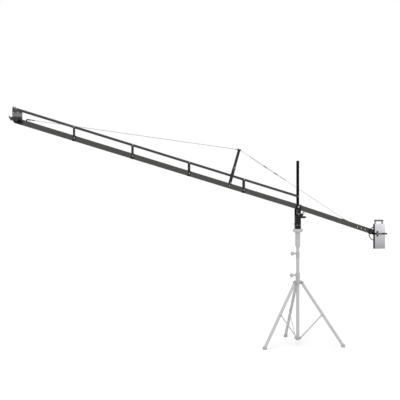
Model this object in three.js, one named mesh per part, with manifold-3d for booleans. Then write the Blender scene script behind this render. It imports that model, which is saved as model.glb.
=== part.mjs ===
// Camera jib crane: jointed boom, levelling rod, stayed king post, pan yoke, counterweight and stand.
// Millimetres, +Z up. The origin is the middle of the stand hub's flat bottom, on the pan axis.
// The boom runs along X, with the camera head at -X, the counterweight at +X and the near side at -Y.

import * as THREE from "three";
import { mergeVertices } from "three/addons/utils/BufferGeometryUtils.js";
import Module from "manifold-3d";

const wasm = await Module();
wasm.setup();

// Clearances
const slip = 0.3;
const seat = 0.1;
const weld = 0.5;
const mergeGap = 0.0001;

// Roundness
const bigSides = 18;
const midSides = 14;
const smallSides = 10;
const nutSides = 6;
const wireSides = 6;
const arcSteps = 4;

// Angles in degrees
const boomTilt = 16.2;
const rearDroop = 1.4;
const legFirstAngle = -34.5;
const legCount = 3;
const fullTurn = 360;

// Stand column
const hubRadius = 22;
const hubHeight = 44;
const hubFloor = 8;
const hubEdge = 3;
const columnRadius = 16.5;
const columnWall = 1.2;
const columnLength = 848.9;
const hubLift = 46;

// Telescope clamp
const clampRadius = 19;
const clampOverlap = 6;
const clampHigh = 62;
const clampEdge = 2;
const clampBossRadius = 10;
const clampBossReach = 26;
const clampKnobDrop = 15;
const clampStudRadius = 4;

// Stand knobs
const standKnobRadius = 21;
const standKnobNeck = 7;
const clampKnobReach = 56;
const collarKnobReach = 66;

// Riser and head adapter
const riserRadius = 15;
const riserWall = 2;
const riserOverlap = 435;
const riserShown = 44;
const riserSocket = 65;
const sleeveRadius = 26;
const sleeveTaper = 18;
const sleeveHigh = 140;
const coneHigh = 9;
const flangeRadius = 50.5;
const flangeThick = 28;
const flangeEdge = 3;
const spindleRadius = 12.5;
const spindleRoof = 8;
const spindleEdge = 2;

// Leg collar
const collarRadius = 22.5;
const collarFoot = 16;
const collarRise = 101;
const collarBossRadius = 9;
const collarBossReach = 32;
const collarKnobDrop = 24;
const legPivotRadius = 42;
const legPivotHeight = 596;
const legLugIn = 9;
const legLugOut = 14;
const legLugRound = 18;
const legLugRise = 10;
const legPinRadius = 4;
const legPinHead = 3;

// Legs and braces
const footSpread = 484;
const legRadius = 15;
const legWall = 2;
const legTubeStart = 26;
const legTongueHalf = 8.5;
const legTongueHigh = 9;
const legTonguePlug = 30;
const footRadius = 21;
const footLength = 34;
const footEdge = 8;
const footSocket = 20;
const braceJoinReach = 384;
const hubPivotRadius = 28;
const hubPivotHeight = 22;
const hubLugHalf = 15.5;
const hubLugHigh = 9;
const braceFlatIn = 16;
const braceFlatThick = 2.5;
const braceHalfWidth = 6.5;
const bracePinRadius = 3.5;
const bracePinHead = 5.5;

// Pan yoke
const pivotRise = 229;
const yokeHalf = 26.5;
const yokeInner = 22;
const yokeBaseDrop = 90;
const yokeRound = 26.5;
const yokeBoltRadius = 3;
const yokeHeadRadius = 5;
const yokeHeadThick = 2.5;
const yokeLowBoltRise = 39;
const yokeLowBoltSide = 16;
const mastBoltDrop = 80;
const panKnobSink = 18;
const panKnobReach = 93;
const panKnobRadius = 11;
const panKnobTip = 5;
const panStudRadius = 4;
const safetyPinRise = 52;
const safetyPinRadius = 3;
const safetyCollar = 7;
const safetyCollarLong = 8;
const safetyRingRadius = 9;
const safetyRingWire = 1.5;
const tiltKnobX = 61;
const tiltKnobDrop = 82;
const tiltKnobRadius = 12;
const tiltKnobThick = 20;
const tiltKnobEdge = 3;
const tiltStudRadius = 4;
const earRound = 11;
const earArmRound = 7;
const earArmX = 22;
const earArmDrop = 121;

// Mast
const barIn = 16;
const barThick = 4;
const barOut = barIn + barThick;
const mastHalf = 8.5;
const mastRise = 479;
const mastCap = 30;
const mastBoss = 12;
const mastBlockTopDrop = 70;
const mastBlockHalf = 20;
const pivotBoltRadius = 5;
const pivotHeadRadius = 10;
const pivotHeadThick = 5;
const rodBoltRadius = 4;
const rodHeadRadius = 6.5;
const rodHeadThick = 4;
const washerRadius = 8;

// Boom
const boomHalfHigh = 26;
const boomHalfWide = 14;
const boomWall = 2;
const firstJointReach = 610;
const jointPitch = 597;
const jointCount = 4;
const jointWebHalf = 8;
const collarLong = 29;
const collarProud = 1.5;
const spigotHalf = 45;
const spigotWall = 3;
const armStart = 40;
const armEnd = 885;
const armPlug = 60;
const armWebThick = 11;
const lastSection = 508;
const noseLong = 66;
const headPinRadius = 4.5;
const boomBush = 10;
const boomScrewX = 28;
const boomScrewRadius = 6;
const boomScrewHigh = 6;
const armHoleRadius = 9.75;
const armLastHoleRadius = 6.5;
const armHoleStart = 180;
const armHolePitch = 46.6;

// Levelling rod and upright links
const linkRise = 110;
const rodRadius = 12.5;
const rodWall = 2;
const rodEnd = 14;
const linkHalf = 9;
const linkPinRadius = 4;
const linkHeadRadius = 6.5;
const linkHeadThick = 2.4;
const linkSpacer = 7;

// King post
const kingPast = 161;
const kingForkHalf = 11.5;
const kingForkTop = 200;
const kingRestRise = 32;
const kingRestRadius = 5;
const kingBoltRadius = 4;
const kingBoltSet = 12;
const kingBoltPitch = 24;
const kingTubeSunk = 50;
const kingTubeRise = 174;
const kingTubeHalfX = 11;
const kingTubeHalfY = 15.5;
const kingTubeWall = 2;
const kingHeadHigh = 17;
const kingHeadHalf = 16.5;
const kingHeadFoot = 8;
const kingHeadCheekIn = 3.5;
const kingHeadCheekOut = 8;
const kingPinAbove = 10;
const kingPinReach = 17;

// Stay cables
const stayPinRadius = 2.3;
const eyeRadius = 3.9;
const eyeWire = 1.2;
const eyeSteps = 10;
const eyeRoundSteps = 5;
const frontWire = 1;
const rearWire = 1.4;
const ferruleRadius = 2.4;
const frontFerrule = 42;
const kingEyeSide = 12;
const frontEyeSide = 30;
const frontAnchorSet = 29;
const frontAnchorRise = 40;
const frontAnchorHalf = 6;
const frontAnchorTop = 44;
const frontAnchorCheek = 10;
const frontAnchorReach = 36;
const frontAnchorHead = 4;
const frontAnchorHeadThick = 3;
const rearAnchorX = 536;
const rearAnchorRise = 31.5;
const rearAnchorAhead = 28;
const rearAnchorBehind = 42;
const rearAnchorPlate = 3;
const rearAnchorHalf = 9;
const rearCheekIn = 1.7;
const rearCheekOut = 6;
const rearCheekHalf = 6;
const rearCheekTop = 35.5;

// Turnbuckle places along the rear stay, from the king post down
const upperFerruleStart = 130;
const upperFerruleLong = 66;
const upperLoopLong = 51;
const upperScrewLong = 59;
const bodyLong = 177;
const lowerLoopLong = 64;
const lowerFerruleLong = 51;
const loopHalf = 5;
const screwRadius = 2.5;
const screwInside = 45;
const bodyNutRadius = 5;
const bodyNutLong = 16;
const bodyBarOffset = 4.5;
const bodyBarRadius = 1.5;
const rearEndFerrule = 22;

// Tilt quadrant
const quadrantRadius = 100;
const quadrantHalf = 10;
const slotHalf = 4.6;
const quadrantThick = 3;
const quadrantFirst = 5;
const quadrantLast = 78;
const quadrantMargin = 5;
const footStart = 120;
const footEnd = 146;
const footHalf = 9;

// Camera head, measured from the head pivot
const plateLeft = -34;
const plateRight = 60;
const plateLow = 10;
const plateShoulderDrop = 10;
const finAbove = 26;
const finSecondAbove = 20;
const finFirstX = -26;
const finSecondX = -7;
const finHalf = 8;
const finValleyAbove = 6;
const spacerRadius = 4.5;
const spacerFrontX = -24;
const spacerFrontRise = 73;
const spacerBackX = 16;
const spacerBackRise = 76;
const trayLow = 4;
const trayHigh = 28;
const trayHalf = 50;
const trayInnerFront = -34;
const trayLipX = -68;
const trayLipRise = 42;
const trayOut = 48;
const screwRadiusCamera = 3.175;
const screwProud = 7;
const screwX = -42;
const screwKnobRadius = 9;
const screwKnobThick = 6;
const screwKnobEdge = 2;

// Counterweight, measured from its axle
const axlePast = 27;
const axleDrop = 10;
const axleRadius = 8;
const axleBlockPast = 17;
const stackLeft = -28;
const stackRight = 89;
const stackLow = -158.5;
const stackHigh = 103.5;
const handleHigh = 44;
const handleBar = 17;
const handleSide = 14;
const handleSet = 6;
const handleFarSet = 15;
const handleThickShare = 0.55;
const stackThick = 43;
const ringTube = 4.75;
const ringRadius = 73;
const ringSteps = 26;
const ringRoundSteps = 8;
const ringHub = 15;
const ringSpokeHalf = 6;
const ringSpokeThickShare = 0.6;
const leverHubRadius = 13;
const leverHubThick = 11;
const leverWingReach = 24;
const leverWingRound = 6;
const leverGripStart = 60;
const leverGripEnd = 112;
const leverGripRound = 8;
const leverArmRound = 5;

// Places that follow from the sizes
const degree = Math.PI / 180;
const floorHeight = -hubLift;
const tiltAngle = boomTilt * degree;
const armAngle = (boomTilt + rearDroop) * degree;
const columnFoot = hubFloor + seat;
const columnTop = columnFoot + columnLength;
const clampBottom = columnTop - clampOverlap;
const clampTop = clampBottom + clampHigh;
const clampKnobHeight = clampTop - clampKnobDrop;
const riserBottom = columnTop - riserOverlap;
const sleeveBottom = clampTop + riserShown + sleeveTaper;
const riserSocketTop = sleeveBottom + riserSocket;
const sleeveTop = sleeveBottom + sleeveHigh;
const flangeBottom = sleeveTop + coneHigh;
const flangeTop = flangeBottom + flangeThick;
const pivotHeight = flangeTop + pivotRise;
const yokeBottom = flangeTop + slip;
const yokeBaseTop = pivotHeight - yokeBaseDrop;
const spindleTop = yokeBaseTop - spindleRoof;
const panAxisHeight = yokeBaseTop - panKnobSink;
const safetyHeight = flangeTop + safetyPinRise;
const yokeLowBoltDrop = pivotRise - yokeLowBoltRise;
const collarBottom = legPivotHeight - collarFoot;
const collarTop = legPivotHeight + collarRise;
const collarKnobHeight = collarTop - collarKnobDrop;
const endBlockStart = firstJointReach + (jointCount - 1) * jointPitch + lastSection;
const headReach = endBlockStart + noseLong;
const kingX = -firstJointReach - kingPast;
const kingBoltTop = kingForkTop - kingBoltSet;
const kingBoltLow = kingBoltTop - kingBoltPitch;
const kingTubeStart = kingForkTop - kingTubeSunk;
const kingTubeTop = kingForkTop + kingTubeRise;
const kingHeadTop = kingTubeTop + kingHeadHigh;
const kingPinRise = kingTubeTop + kingPinAbove;
const frontAnchorX = frontAnchorSet - endBlockStart;
const rearAnchorFront = rearAnchorX - rearAnchorAhead;
const rearAnchorBack = rearAnchorX + rearAnchorBehind;
const upperFerruleEnd = upperFerruleStart + upperFerruleLong;
const upperLoopEnd = upperFerruleEnd + upperLoopLong;
const bodyStart = upperLoopEnd + upperScrewLong;
const bodyEnd = bodyStart + bodyLong;
const lowerFerruleStart = bodyEnd + lowerLoopLong;
const lowerFerruleEnd = lowerFerruleStart + lowerFerruleLong;
const armFirstHole = armEnd - armHoleStart;
const plateShoulder = linkRise - plateShoulderDrop;
const finValley = linkRise + finValleyAbove;
const finRise = linkRise + finAbove;
const finSecondRise = linkRise + finSecondAbove;
const axleX = armEnd + axlePast;
const axleBlockEnd = axleX + axleBlockPast;
const handleTop = stackHigh + handleHigh;
const stackBack = boomHalfWide + 2 * seat + 2 * ringTube + 2 * weld;
const stackFront = stackBack + stackThick;
const columnBore = columnRadius - columnWall;
const legDrop = legPivotHeight - floorHeight;
const legRun = footSpread - legPivotRadius;
const legLength = Math.hypot(legDrop, legRun);
const legLean = Math.atan2(legRun, legDrop);
const braceEndRadius = legPivotRadius + braceJoinReach * Math.sin(legLean);
const braceEndHeight = legPivotHeight - braceJoinReach * Math.cos(legLean);
const braceRun = braceEndRadius - hubPivotRadius;
const braceRise = braceEndHeight - hubPivotHeight;
const braceLength = Math.hypot(braceRun, braceRise);
const braceAngle = Math.atan2(braceRise, braceRun);

// Materials
function paint(colour, roughness, metalness) {
  return new THREE.MeshStandardMaterial({ color: colour, roughness, metalness });
}
const standGrey = paint("#b8b8ba", 0.45, 0.3);
const rubberGrey = paint("#8f8f90", 0.8, 0);
const knobGrey = paint("#9a9a9c", 0.6, 0);
const blackPaint = paint("#17181a", 0.5, 0.2);
const blackPlastic = paint("#101112", 0.55, 0);
const boomGrey = paint("#5a5955", 0.5, 0.6);
const steel = paint("#c9cace", 0.3, 1);
const wire = paint("#a3a4a6", 0.35, 1);

// Solids
function solid(geometry) {
  const loose = geometry.clone();
  loose.deleteAttribute("normal");
  loose.deleteAttribute("uv");
  const joined = mergeVertices(loose, mergeGap);
  const places = new Float32Array(joined.attributes.position.array);
  const corners = new Uint32Array(joined.index.array);
  const mesh = new wasm.Mesh({ numProp: 3, vertProperties: places, triVerts: corners });
  return new wasm.Manifold(mesh);
}

function shell(body) {
  const mesh = body.getMesh();
  const geometry = new THREE.BufferGeometry();
  geometry.setAttribute("position", new THREE.BufferAttribute(mesh.vertProperties, 3));
  geometry.setIndex(new THREE.BufferAttribute(mesh.triVerts, 1));
  return geometry;
}

function fuse(...bodies) {
  return bodies.reduce((sum, body) => sum.add(body));
}

function cut(body, ...tools) {
  return tools.reduce((rest, tool) => rest.subtract(tool), body);
}

function moved(body, frame) {
  const geometry = shell(body);
  geometry.applyMatrix4(frame);
  return solid(geometry);
}

function point(x, y, z) {
  return new THREE.Vector3(x, y, z);
}

function ball(radius, x, y, z) {
  const geometry = new THREE.SphereGeometry(radius, midSides, smallSides);
  geometry.translate(x, y, z);
  return solid(geometry);
}

function box(x0, x1, y0, y1, z0, z1) {
  const geometry = new THREE.BoxGeometry(x1 - x0, y1 - y0, z1 - z0);
  geometry.translate((x0 + x1) / 2, (y0 + y1) / 2, (z0 + z1) / 2);
  return solid(geometry);
}

function round(radius, from, to, sides = smallSides) {
  const run = to.clone().sub(from);
  const geometry = new THREE.CylinderGeometry(radius, radius, run.length(), sides);
  const turn = new THREE.Quaternion().setFromUnitVectors(point(0, 1, 0), run.clone().normalize());
  geometry.applyQuaternion(turn);
  const middle = from.clone().add(to).divideScalar(2);
  geometry.translate(middle.x, middle.y, middle.z);
  return solid(geometry);
}

function across(radius, x, z, y0, y1, sides = smallSides) {
  return round(radius, point(x, y0, z), point(x, y1, z), sides);
}

function lathe(profile, sides) {
  const points = profile.map(([radius, height]) => new THREE.Vector2(radius, height));
  const geometry = new THREE.LatheGeometry(points, sides);
  geometry.rotateX(Math.PI / 2);
  return solid(geometry);
}

function disc(radius, low, high, edge, sides) {
  const profile = [
    [0, low],
    [radius - edge, low],
    [radius, low + edge],
    [radius, high - edge],
    [radius - edge, high],
    [0, high],
  ];
  return lathe(profile, sides);
}

function pipe(outer, inner, low, high, sides) {
  const profile = [
    [inner, low],
    [outer, low],
    [outer, high],
    [inner, high],
    [inner, low],
  ];
  return lathe(profile, sides);
}

function slab(shape, y0, y1) {
  const options = { depth: y1 - y0, bevelEnabled: false, curveSegments: arcSteps };
  const geometry = new THREE.ExtrudeGeometry(shape, options);
  geometry.rotateX(Math.PI / 2);
  geometry.translate(0, y1, 0);
  return solid(geometry);
}

function outline(points) {
  return new THREE.Shape(points.map(([x, z]) => new THREE.Vector2(x, z)));
}

function strip(x0, z0, x1, z1, radius) {
  const lean = Math.atan2(z1 - z0, x1 - x0);
  const quarter = Math.PI / 2;
  const shape = new THREE.Shape();
  shape.absarc(x0, z0, radius, lean + quarter, lean + 3 * quarter, false);
  shape.absarc(x1, z1, radius, lean - quarter, lean + quarter, false);
  shape.closePath();
  return shape;
}

function hoop(radius, tube, x, y, z, steps, roundSteps) {
  const geometry = new THREE.TorusGeometry(radius, tube, roundSteps, steps);
  geometry.rotateX(Math.PI / 2);
  geometry.translate(x, y, z);
  return solid(geometry);
}

function eye(x, y, z) {
  return hoop(eyeRadius, eyeWire, x, y, z, eyeSteps, eyeRoundSteps);
}

function boxTube(x0, x1, halfY, halfZ, wall) {
  const outer = box(x0, x1, -halfY, halfY, -halfZ, halfZ);
  const inner = box(x0 - weld, x1 + weld, wall - halfY, halfY - wall, wall - halfZ, halfZ - wall);
  return cut(outer, inner);
}

function bothSides(make) {
  return fuse(make(-1), make(1));
}

// Frames
function turnY(angle) {
  return new THREE.Matrix4().makeRotationY(angle);
}
function shift(x, y, z) {
  return new THREE.Matrix4().makeTranslation(x, y, z);
}
const flat = new THREE.Matrix4();
const turnToX = turnY(Math.PI / 2);
const turnToBack = turnY(-Math.PI / 2);
const pivotFrame = shift(0, 0, pivotHeight);
const boomFrame = pivotFrame.clone().multiply(turnY(tiltAngle));
const armFrame = pivotFrame.clone().multiply(turnY(armAngle));
const headPlace = point(-headReach, 0, 0).applyMatrix4(boomFrame);
const headFrame = shift(headPlace.x, 0, headPlace.z);
const axlePlace = point(axleX, 0, -axleDrop).applyMatrix4(armFrame);
const axleFrame = shift(axlePlace.x, 0, axlePlace.z);
const rodFrame = shift(0, 0, pivotHeight + linkRise).multiply(turnY(tiltAngle));

const group = new THREE.Group();
function part(name, body, material, frame = flat) {
  const geometry = shell(body);
  geometry.applyMatrix4(frame);
  const drawn = geometry.toNonIndexed();
  drawn.computeVertexNormals();
  const mesh = new THREE.Mesh(drawn, material);
  mesh.name = name;
  group.add(mesh);
}

// Stand column and bottom hub
const legPlaces = Array.from({ length: legCount }, (unused, index) => {
  const turn = legFirstAngle - (fullTurn / legCount) * index;
  return { number: index + 1, around: new THREE.Matrix4().makeRotationZ(turn * degree) };
});

const hubLug = slab(
  strip(0, hubPivotHeight, hubPivotRadius, hubPivotHeight, hubLugHigh),
  -hubLugHalf,
  hubLugHalf,
);
const hubLugs = legPlaces.map((leg) => moved(hubLug, leg.around));
const hubSolid = fuse(disc(hubRadius, 0, hubHeight, hubEdge, bigSides), ...hubLugs);
const hubPinHole = across(bracePinRadius + slip, hubPivotRadius, hubPivotHeight, -hubRadius, hubRadius);
const hubPinHoles = legPlaces.map((leg) => moved(hubPinHole, leg.around));
const hubBore = disc(columnRadius + seat, hubFloor, hubHeight + weld, 0, bigSides);
part("column_hub", cut(hubSolid, hubBore, ...hubPinHoles), standGrey);
part("column_tube", pipe(columnRadius, columnBore, columnFoot, columnTop, bigSides), standGrey);

// Telescope clamp and its ball knob on the -X side
const clampRing = disc(clampRadius, clampBottom, clampTop, clampEdge, bigSides);
const clampBoss = round(
  clampBossRadius,
  point(-columnRadius, 0, clampKnobHeight),
  point(-clampBossReach, 0, clampKnobHeight),
);
const clampLowBore = disc(columnRadius + seat, clampBottom - weld, columnTop + seat, 0, bigSides);
const clampHighBore = disc(columnBore, clampBottom - weld, clampTop + weld, 0, bigSides);
const clampStudBore = round(
  clampStudRadius + slip,
  point(0, 0, clampKnobHeight),
  point(-clampBossReach - weld, 0, clampKnobHeight),
);
const clampSolid = fuse(clampRing, clampBoss);
part("telescope_clamp", cut(clampSolid, clampLowBore, clampHighBore, clampStudBore), standGrey);

function sideKnob(reach, bossReach, tip, height) {
  const head = ball(standKnobRadius, 0, 0, reach);
  const neck = disc(standKnobNeck, bossReach + slip, reach, 0, smallSides);
  const stud = disc(clampStudRadius, tip, bossReach + slip + weld, 0, smallSides);
  const knob = moved(fuse(head, neck, stud), turnToBack);
  return moved(knob, shift(0, 0, height));
}
const clampKnob = sideKnob(clampKnobReach, clampBossReach, riserRadius + slip, clampKnobHeight);
part("telescope_knob", clampKnob, knobGrey);

// Riser tube, and the head adapter with its flange and pan spindle
const riser = pipe(riserRadius, riserRadius - riserWall, riserBottom, riserSocketTop - seat, bigSides);
part("riser_tube", riser, standGrey);
const adapterProfile = [
  [0, riserSocketTop],
  [riserRadius + seat, riserSocketTop],
  [riserRadius + seat, sleeveBottom - sleeveTaper],
  [riserRadius + riserWall, sleeveBottom - sleeveTaper],
  [sleeveRadius, sleeveBottom],
  [sleeveRadius, sleeveTop],
  [flangeRadius, flangeBottom],
  [flangeRadius, flangeTop - flangeEdge],
  [flangeRadius - flangeEdge, flangeTop],
  [spindleRadius, flangeTop],
  [spindleRadius, spindleTop - spindleEdge],
  [spindleRadius - spindleEdge, spindleTop],
  [0, spindleTop],
];
part("head_adapter", lathe(adapterProfile, bigSides), standGrey);

// Leg collar and its ball knob on the -X side
const legLugPair = bothSides((side) => {
  const near = Math.min(side * legLugIn, side * legLugOut);
  const far = Math.max(side * legLugIn, side * legLugOut);
  const inner = legPivotHeight + legLugRise;
  return slab(strip(0, inner, legPivotRadius, legPivotHeight, legLugRound), near, far);
});
const legPinHole = across(legPinRadius + slip, legPivotRadius, legPivotHeight, -collarRadius, collarRadius);
const collarLugs = legPlaces.map((leg) => moved(cut(legLugPair, legPinHole), leg.around));
const collarBoss = round(
  collarBossRadius,
  point(-columnRadius, 0, collarKnobHeight),
  point(-collarBossReach, 0, collarKnobHeight),
);
const collarLow = legPivotHeight - legLugRound;
const collarSleeve = disc(collarRadius, Math.min(collarBottom, collarLow), collarTop, 0, bigSides);
const collarBore = disc(columnRadius + slip, collarBottom - collarRadius, collarTop + weld, 0, bigSides);
const collarStudBore = round(
  clampStudRadius + slip,
  point(0, 0, collarKnobHeight),
  point(-collarBossReach - weld, 0, collarKnobHeight),
);
const collarSolid = fuse(collarSleeve, ...collarLugs, collarBoss);
part("leg_collar", cut(collarSolid, collarBore, collarStudBore), standGrey);
const collarKnob = sideKnob(collarKnobReach, collarBossReach, columnRadius + slip, collarKnobHeight);
part("leg_collar_knob", collarKnob, knobGrey);

// Legs, feet and braces. Local X runs down the leg, or out along the brace.
const footStartReach = legLength - footLength;
const tonguePlate = slab(
  strip(0, 0, legTubeStart + legTonguePlug, 0, legTongueHigh),
  -legTongueHalf,
  legTongueHalf,
);
const legPinBody = across(legPinRadius, 0, 0, -legLugOut - slip, legLugOut + slip);
const legPinHeads = bothSides((side) => {
  const inner = side * (legLugOut + slip);
  const outer = side * (legLugOut + slip + legPinHead);
  return across(legPinRadius + legPinHead, 0, 0, Math.min(inner, outer), Math.max(inner, outer));
});
const legPipe = moved(
  pipe(legRadius, legRadius - legWall, legTubeStart, footStartReach + footSocket, midSides),
  turnToX,
);
const legCap = moved(disc(legRadius, legTubeStart, legTubeStart + legTonguePlug / 2, 0, midSides), turnToX);
const legBody = fuse(legPipe, legCap, tonguePlate, legPinBody, legPinHeads);

const footProfile = [
  [0, footStartReach + footSocket + seat],
  [legRadius + seat, footStartReach + footSocket + seat],
  [legRadius + seat, footStartReach],
  [footRadius - footEdge / 2, footStartReach],
  [footRadius, footStartReach + footEdge],
  [footRadius, legLength - footEdge],
  [footRadius - footEdge, legLength],
  [0, legLength],
];
const footBall = moved(lathe(footProfile, midSides), turnToX);

const braceReach = braceFlatIn + braceFlatThick;
const braceFlat = slab(strip(0, 0, braceLength, 0, braceHalfWidth), braceFlatIn, braceReach);
const braceHubPin = across(bracePinRadius, 0, 0, -braceReach, braceReach);
const braceHubHead = across(bracePinHead, 0, 0, -braceReach, -hubLugHalf - slip);
const braceStud = across(bracePinRadius, braceLength, 0, legRadius + slip, braceReach);
const braceBody = fuse(braceFlat, braceHubPin, braceHubHead, braceStud);

const belowFloor = box(-legLength, legLength, -legLength, legLength, floorHeight - legLength, floorHeight);
legPlaces.forEach((leg) => {
  const legPlace = shift(legPivotRadius, 0, legPivotHeight);
  const legFrame = leg.around.clone().multiply(legPlace).multiply(turnY(Math.PI / 2 - legLean));
  const bracePlace = shift(hubPivotRadius, 0, hubPivotHeight);
  const braceFrame = leg.around.clone().multiply(bracePlace).multiply(turnY(-braceAngle));
  const foot = cut(moved(footBall, legFrame), belowFloor);
  part(`leg_${leg.number}`, legBody, standGrey, legFrame);
  part(`foot_${leg.number}`, foot, rubberGrey);
  part(`brace_${leg.number}`, braceBody, standGrey, braceFrame);
});

// Pan yoke base with the bore for the pan spindle
const yokeBlock = box(-yokeHalf, yokeHalf, -yokeInner, yokeInner, yokeBottom, yokeBaseTop);
const yokeBore = disc(spindleRadius + slip, yokeBottom - weld, spindleTop + slip, 0, bigSides);
const panBore = round(
  panStudRadius + slip,
  point(0, 0, panAxisHeight),
  point(yokeHalf + weld, 0, panAxisHeight),
);
const safetyBore = round(
  safetyPinRadius + slip,
  point(0, 0, safetyHeight),
  point(-yokeHalf - weld, 0, safetyHeight),
);
part("yoke_base", cut(yokeBlock, yokeBore, panBore, safetyBore), blackPaint);

// Yoke plates, each with its bolts
const plateTop = new THREE.Shape();
plateTop.moveTo(-yokeHalf, yokeBottom - pivotHeight);
plateTop.lineTo(yokeHalf, yokeBottom - pivotHeight);
plateTop.lineTo(yokeHalf, 0);
plateTop.absarc(0, 0, yokeRound, 0, Math.PI, false);
plateTop.closePath();
const plateOuter = yokeHalf;
const yokeHeadFace = -plateOuter - yokeHeadThick;
const yokeHead = (x, drop) => across(yokeHeadRadius, x, -drop, yokeHeadFace, -plateOuter + weld);
const nearPlate = fuse(
  slab(plateTop, -plateOuter, -yokeInner),
  yokeHead(0, mastBoltDrop),
  yokeHead(-yokeLowBoltSide, yokeLowBoltDrop),
  yokeHead(yokeLowBoltSide, yokeLowBoltDrop),
  across(yokeBoltRadius, 0, -mastBoltDrop, -yokeInner - weld, yokeInner - seat),
);
const pivotBore = across(pivotBoltRadius + slip, 0, 0, -yokeHalf - weld, yokeHalf + weld, midSides);
part("yoke_plate_near", cut(nearPlate, pivotBore), blackPaint, pivotFrame);
const farPlate = fuse(
  slab(plateTop, yokeInner, plateOuter),
  slab(strip(tiltKnobX, -tiltKnobDrop, earArmX, -earArmDrop, earArmRound), yokeInner, plateOuter),
  across(earRound, tiltKnobX, -tiltKnobDrop, yokeInner, plateOuter, midSides),
);
const tiltBore = across(
  tiltStudRadius + slip,
  tiltKnobX,
  -tiltKnobDrop,
  yokeInner - weld,
  plateOuter + weld,
);
part("yoke_plate_far", cut(farPlate, pivotBore, tiltBore), blackPaint, pivotFrame);

// Pan lock knob, safety pin and tilt lock knob
const panProfile = [
  [0, spindleRadius + slip],
  [panStudRadius, spindleRadius + slip],
  [panStudRadius, yokeHalf + slip],
  [panKnobRadius, yokeHalf + panKnobTip],
  [panKnobRadius, panKnobReach - 3 * panKnobTip],
  [panKnobTip, panKnobReach],
  [0, panKnobReach],
];
const panKnob = moved(lathe(panProfile, midSides), turnToX);
part("pan_lock_knob", panKnob, blackPlastic, shift(0, 0, panAxisHeight));
const safetyProfile = [
  [0, spindleRadius + slip],
  [safetyPinRadius, spindleRadius + slip],
  [safetyPinRadius, yokeHalf + slip],
  [safetyCollar, yokeHalf + slip],
  [safetyCollar, yokeHalf + safetyCollarLong],
  [0, yokeHalf + safetyCollarLong],
];
const safetyStem = moved(lathe(safetyProfile, smallSides), turnToBack);
const safetyRingX = -yokeHalf - safetyCollarLong - safetyRingRadius;
const safetyRing = hoop(safetyRingRadius, safetyRingWire, safetyRingX, 0, 0, midSides, wireSides);
part("safety_pin", fuse(safetyStem, safetyRing), steel, shift(0, 0, safetyHeight));
const quadrantBack = plateOuter + 2 * slip;
const quadrantFront = quadrantBack + quadrantThick;
const tiltKnobFace = quadrantFront + slip;
const tiltKnob = fuse(
  across(tiltKnobRadius, 0, 0, tiltKnobFace, tiltKnobFace + tiltKnobThick, midSides),
  across(tiltKnobRadius - tiltKnobEdge, 0, 0, tiltKnobFace, tiltKnobFace + tiltKnobThick + tiltKnobEdge),
  across(tiltStudRadius, 0, 0, yokeInner, tiltKnobFace + weld),
);
part("tilt_lock_knob", tiltKnob, blackPlastic, shift(tiltKnobX, 0, pivotHeight - tiltKnobDrop));

// Mast of two flat bars, joined by a cap above and a cross block below
const mastBars = bothSides((side) => {
  const near = Math.min(side * barIn, side * barOut);
  const far = Math.max(side * barIn, side * barOut);
  const bar = box(-mastHalf, mastHalf, near, far, -mastBlockTopDrop - weld, mastRise);
  return fuse(bar, across(mastBoss, 0, 0, near, far, midSides));
});
const mastTop = box(-mastHalf, mastHalf, -barIn - weld, barIn + weld, mastRise - mastCap, mastRise);
const mastBlock = box(
  -mastBlockHalf,
  mastBlockHalf,
  seat - yokeInner,
  yokeInner - seat,
  -yokeBaseDrop,
  -mastBlockTopDrop,
);
const mastBolt = across(yokeBoltRadius + slip, 0, -mastBoltDrop, -yokeInner, yokeInner);
const mastRodBore = across(rodBoltRadius + slip, 0, linkRise, -barOut - weld, barOut + weld);
const mast = cut(fuse(mastBars, mastTop, mastBlock), mastBolt, pivotBore, mastRodBore);
part("mast", mast, blackPaint, pivotFrame);

// Bolts with washers that keep the boom and the rod in the middle
const pivotBolt = fuse(
  across(pivotBoltRadius, 0, 0, -plateOuter - pivotHeadThick, plateOuter + pivotHeadThick, midSides),
  across(pivotHeadRadius, 0, 0, -plateOuter - pivotHeadThick - seat, -plateOuter - seat, midSides),
  across(pivotHeadRadius, 0, 0, plateOuter + seat, plateOuter + pivotHeadThick + seat, nutSides),
  bothSides((side) => {
    const inner = side * (barOut + seat);
    const outer = side * (yokeInner - seat);
    return across(washerRadius, 0, 0, Math.min(inner, outer), Math.max(inner, outer), midSides);
  }),
  bothSides((side) => {
    const inner = side * (boomHalfWide + slip);
    const outer = side * (barIn - seat);
    return across(washerRadius, 0, 0, Math.min(inner, outer), Math.max(inner, outer), midSides);
  }),
);
part("boom_pivot_bolt", pivotBolt, steel, pivotFrame);
const rodBolt = fuse(
  across(rodBoltRadius, 0, 0, -barOut - rodHeadThick, barOut + rodHeadThick, midSides),
  bothSides((side) => {
    const inner = side * (barOut + seat);
    const outer = side * (barOut + rodHeadThick + seat);
    return across(rodHeadRadius, 0, 0, Math.min(inner, outer), Math.max(inner, outer), smallSides);
  }),
  bothSides((side) => {
    const inner = side * (rodRadius + slip);
    const outer = side * (barIn - seat);
    return across(linkSpacer, 0, 0, Math.min(inner, outer), Math.max(inner, outer), smallSides);
  }),
);
part("rod_pivot_bolt", rodBolt, steel, shift(0, 0, pivotHeight + linkRise));

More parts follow.
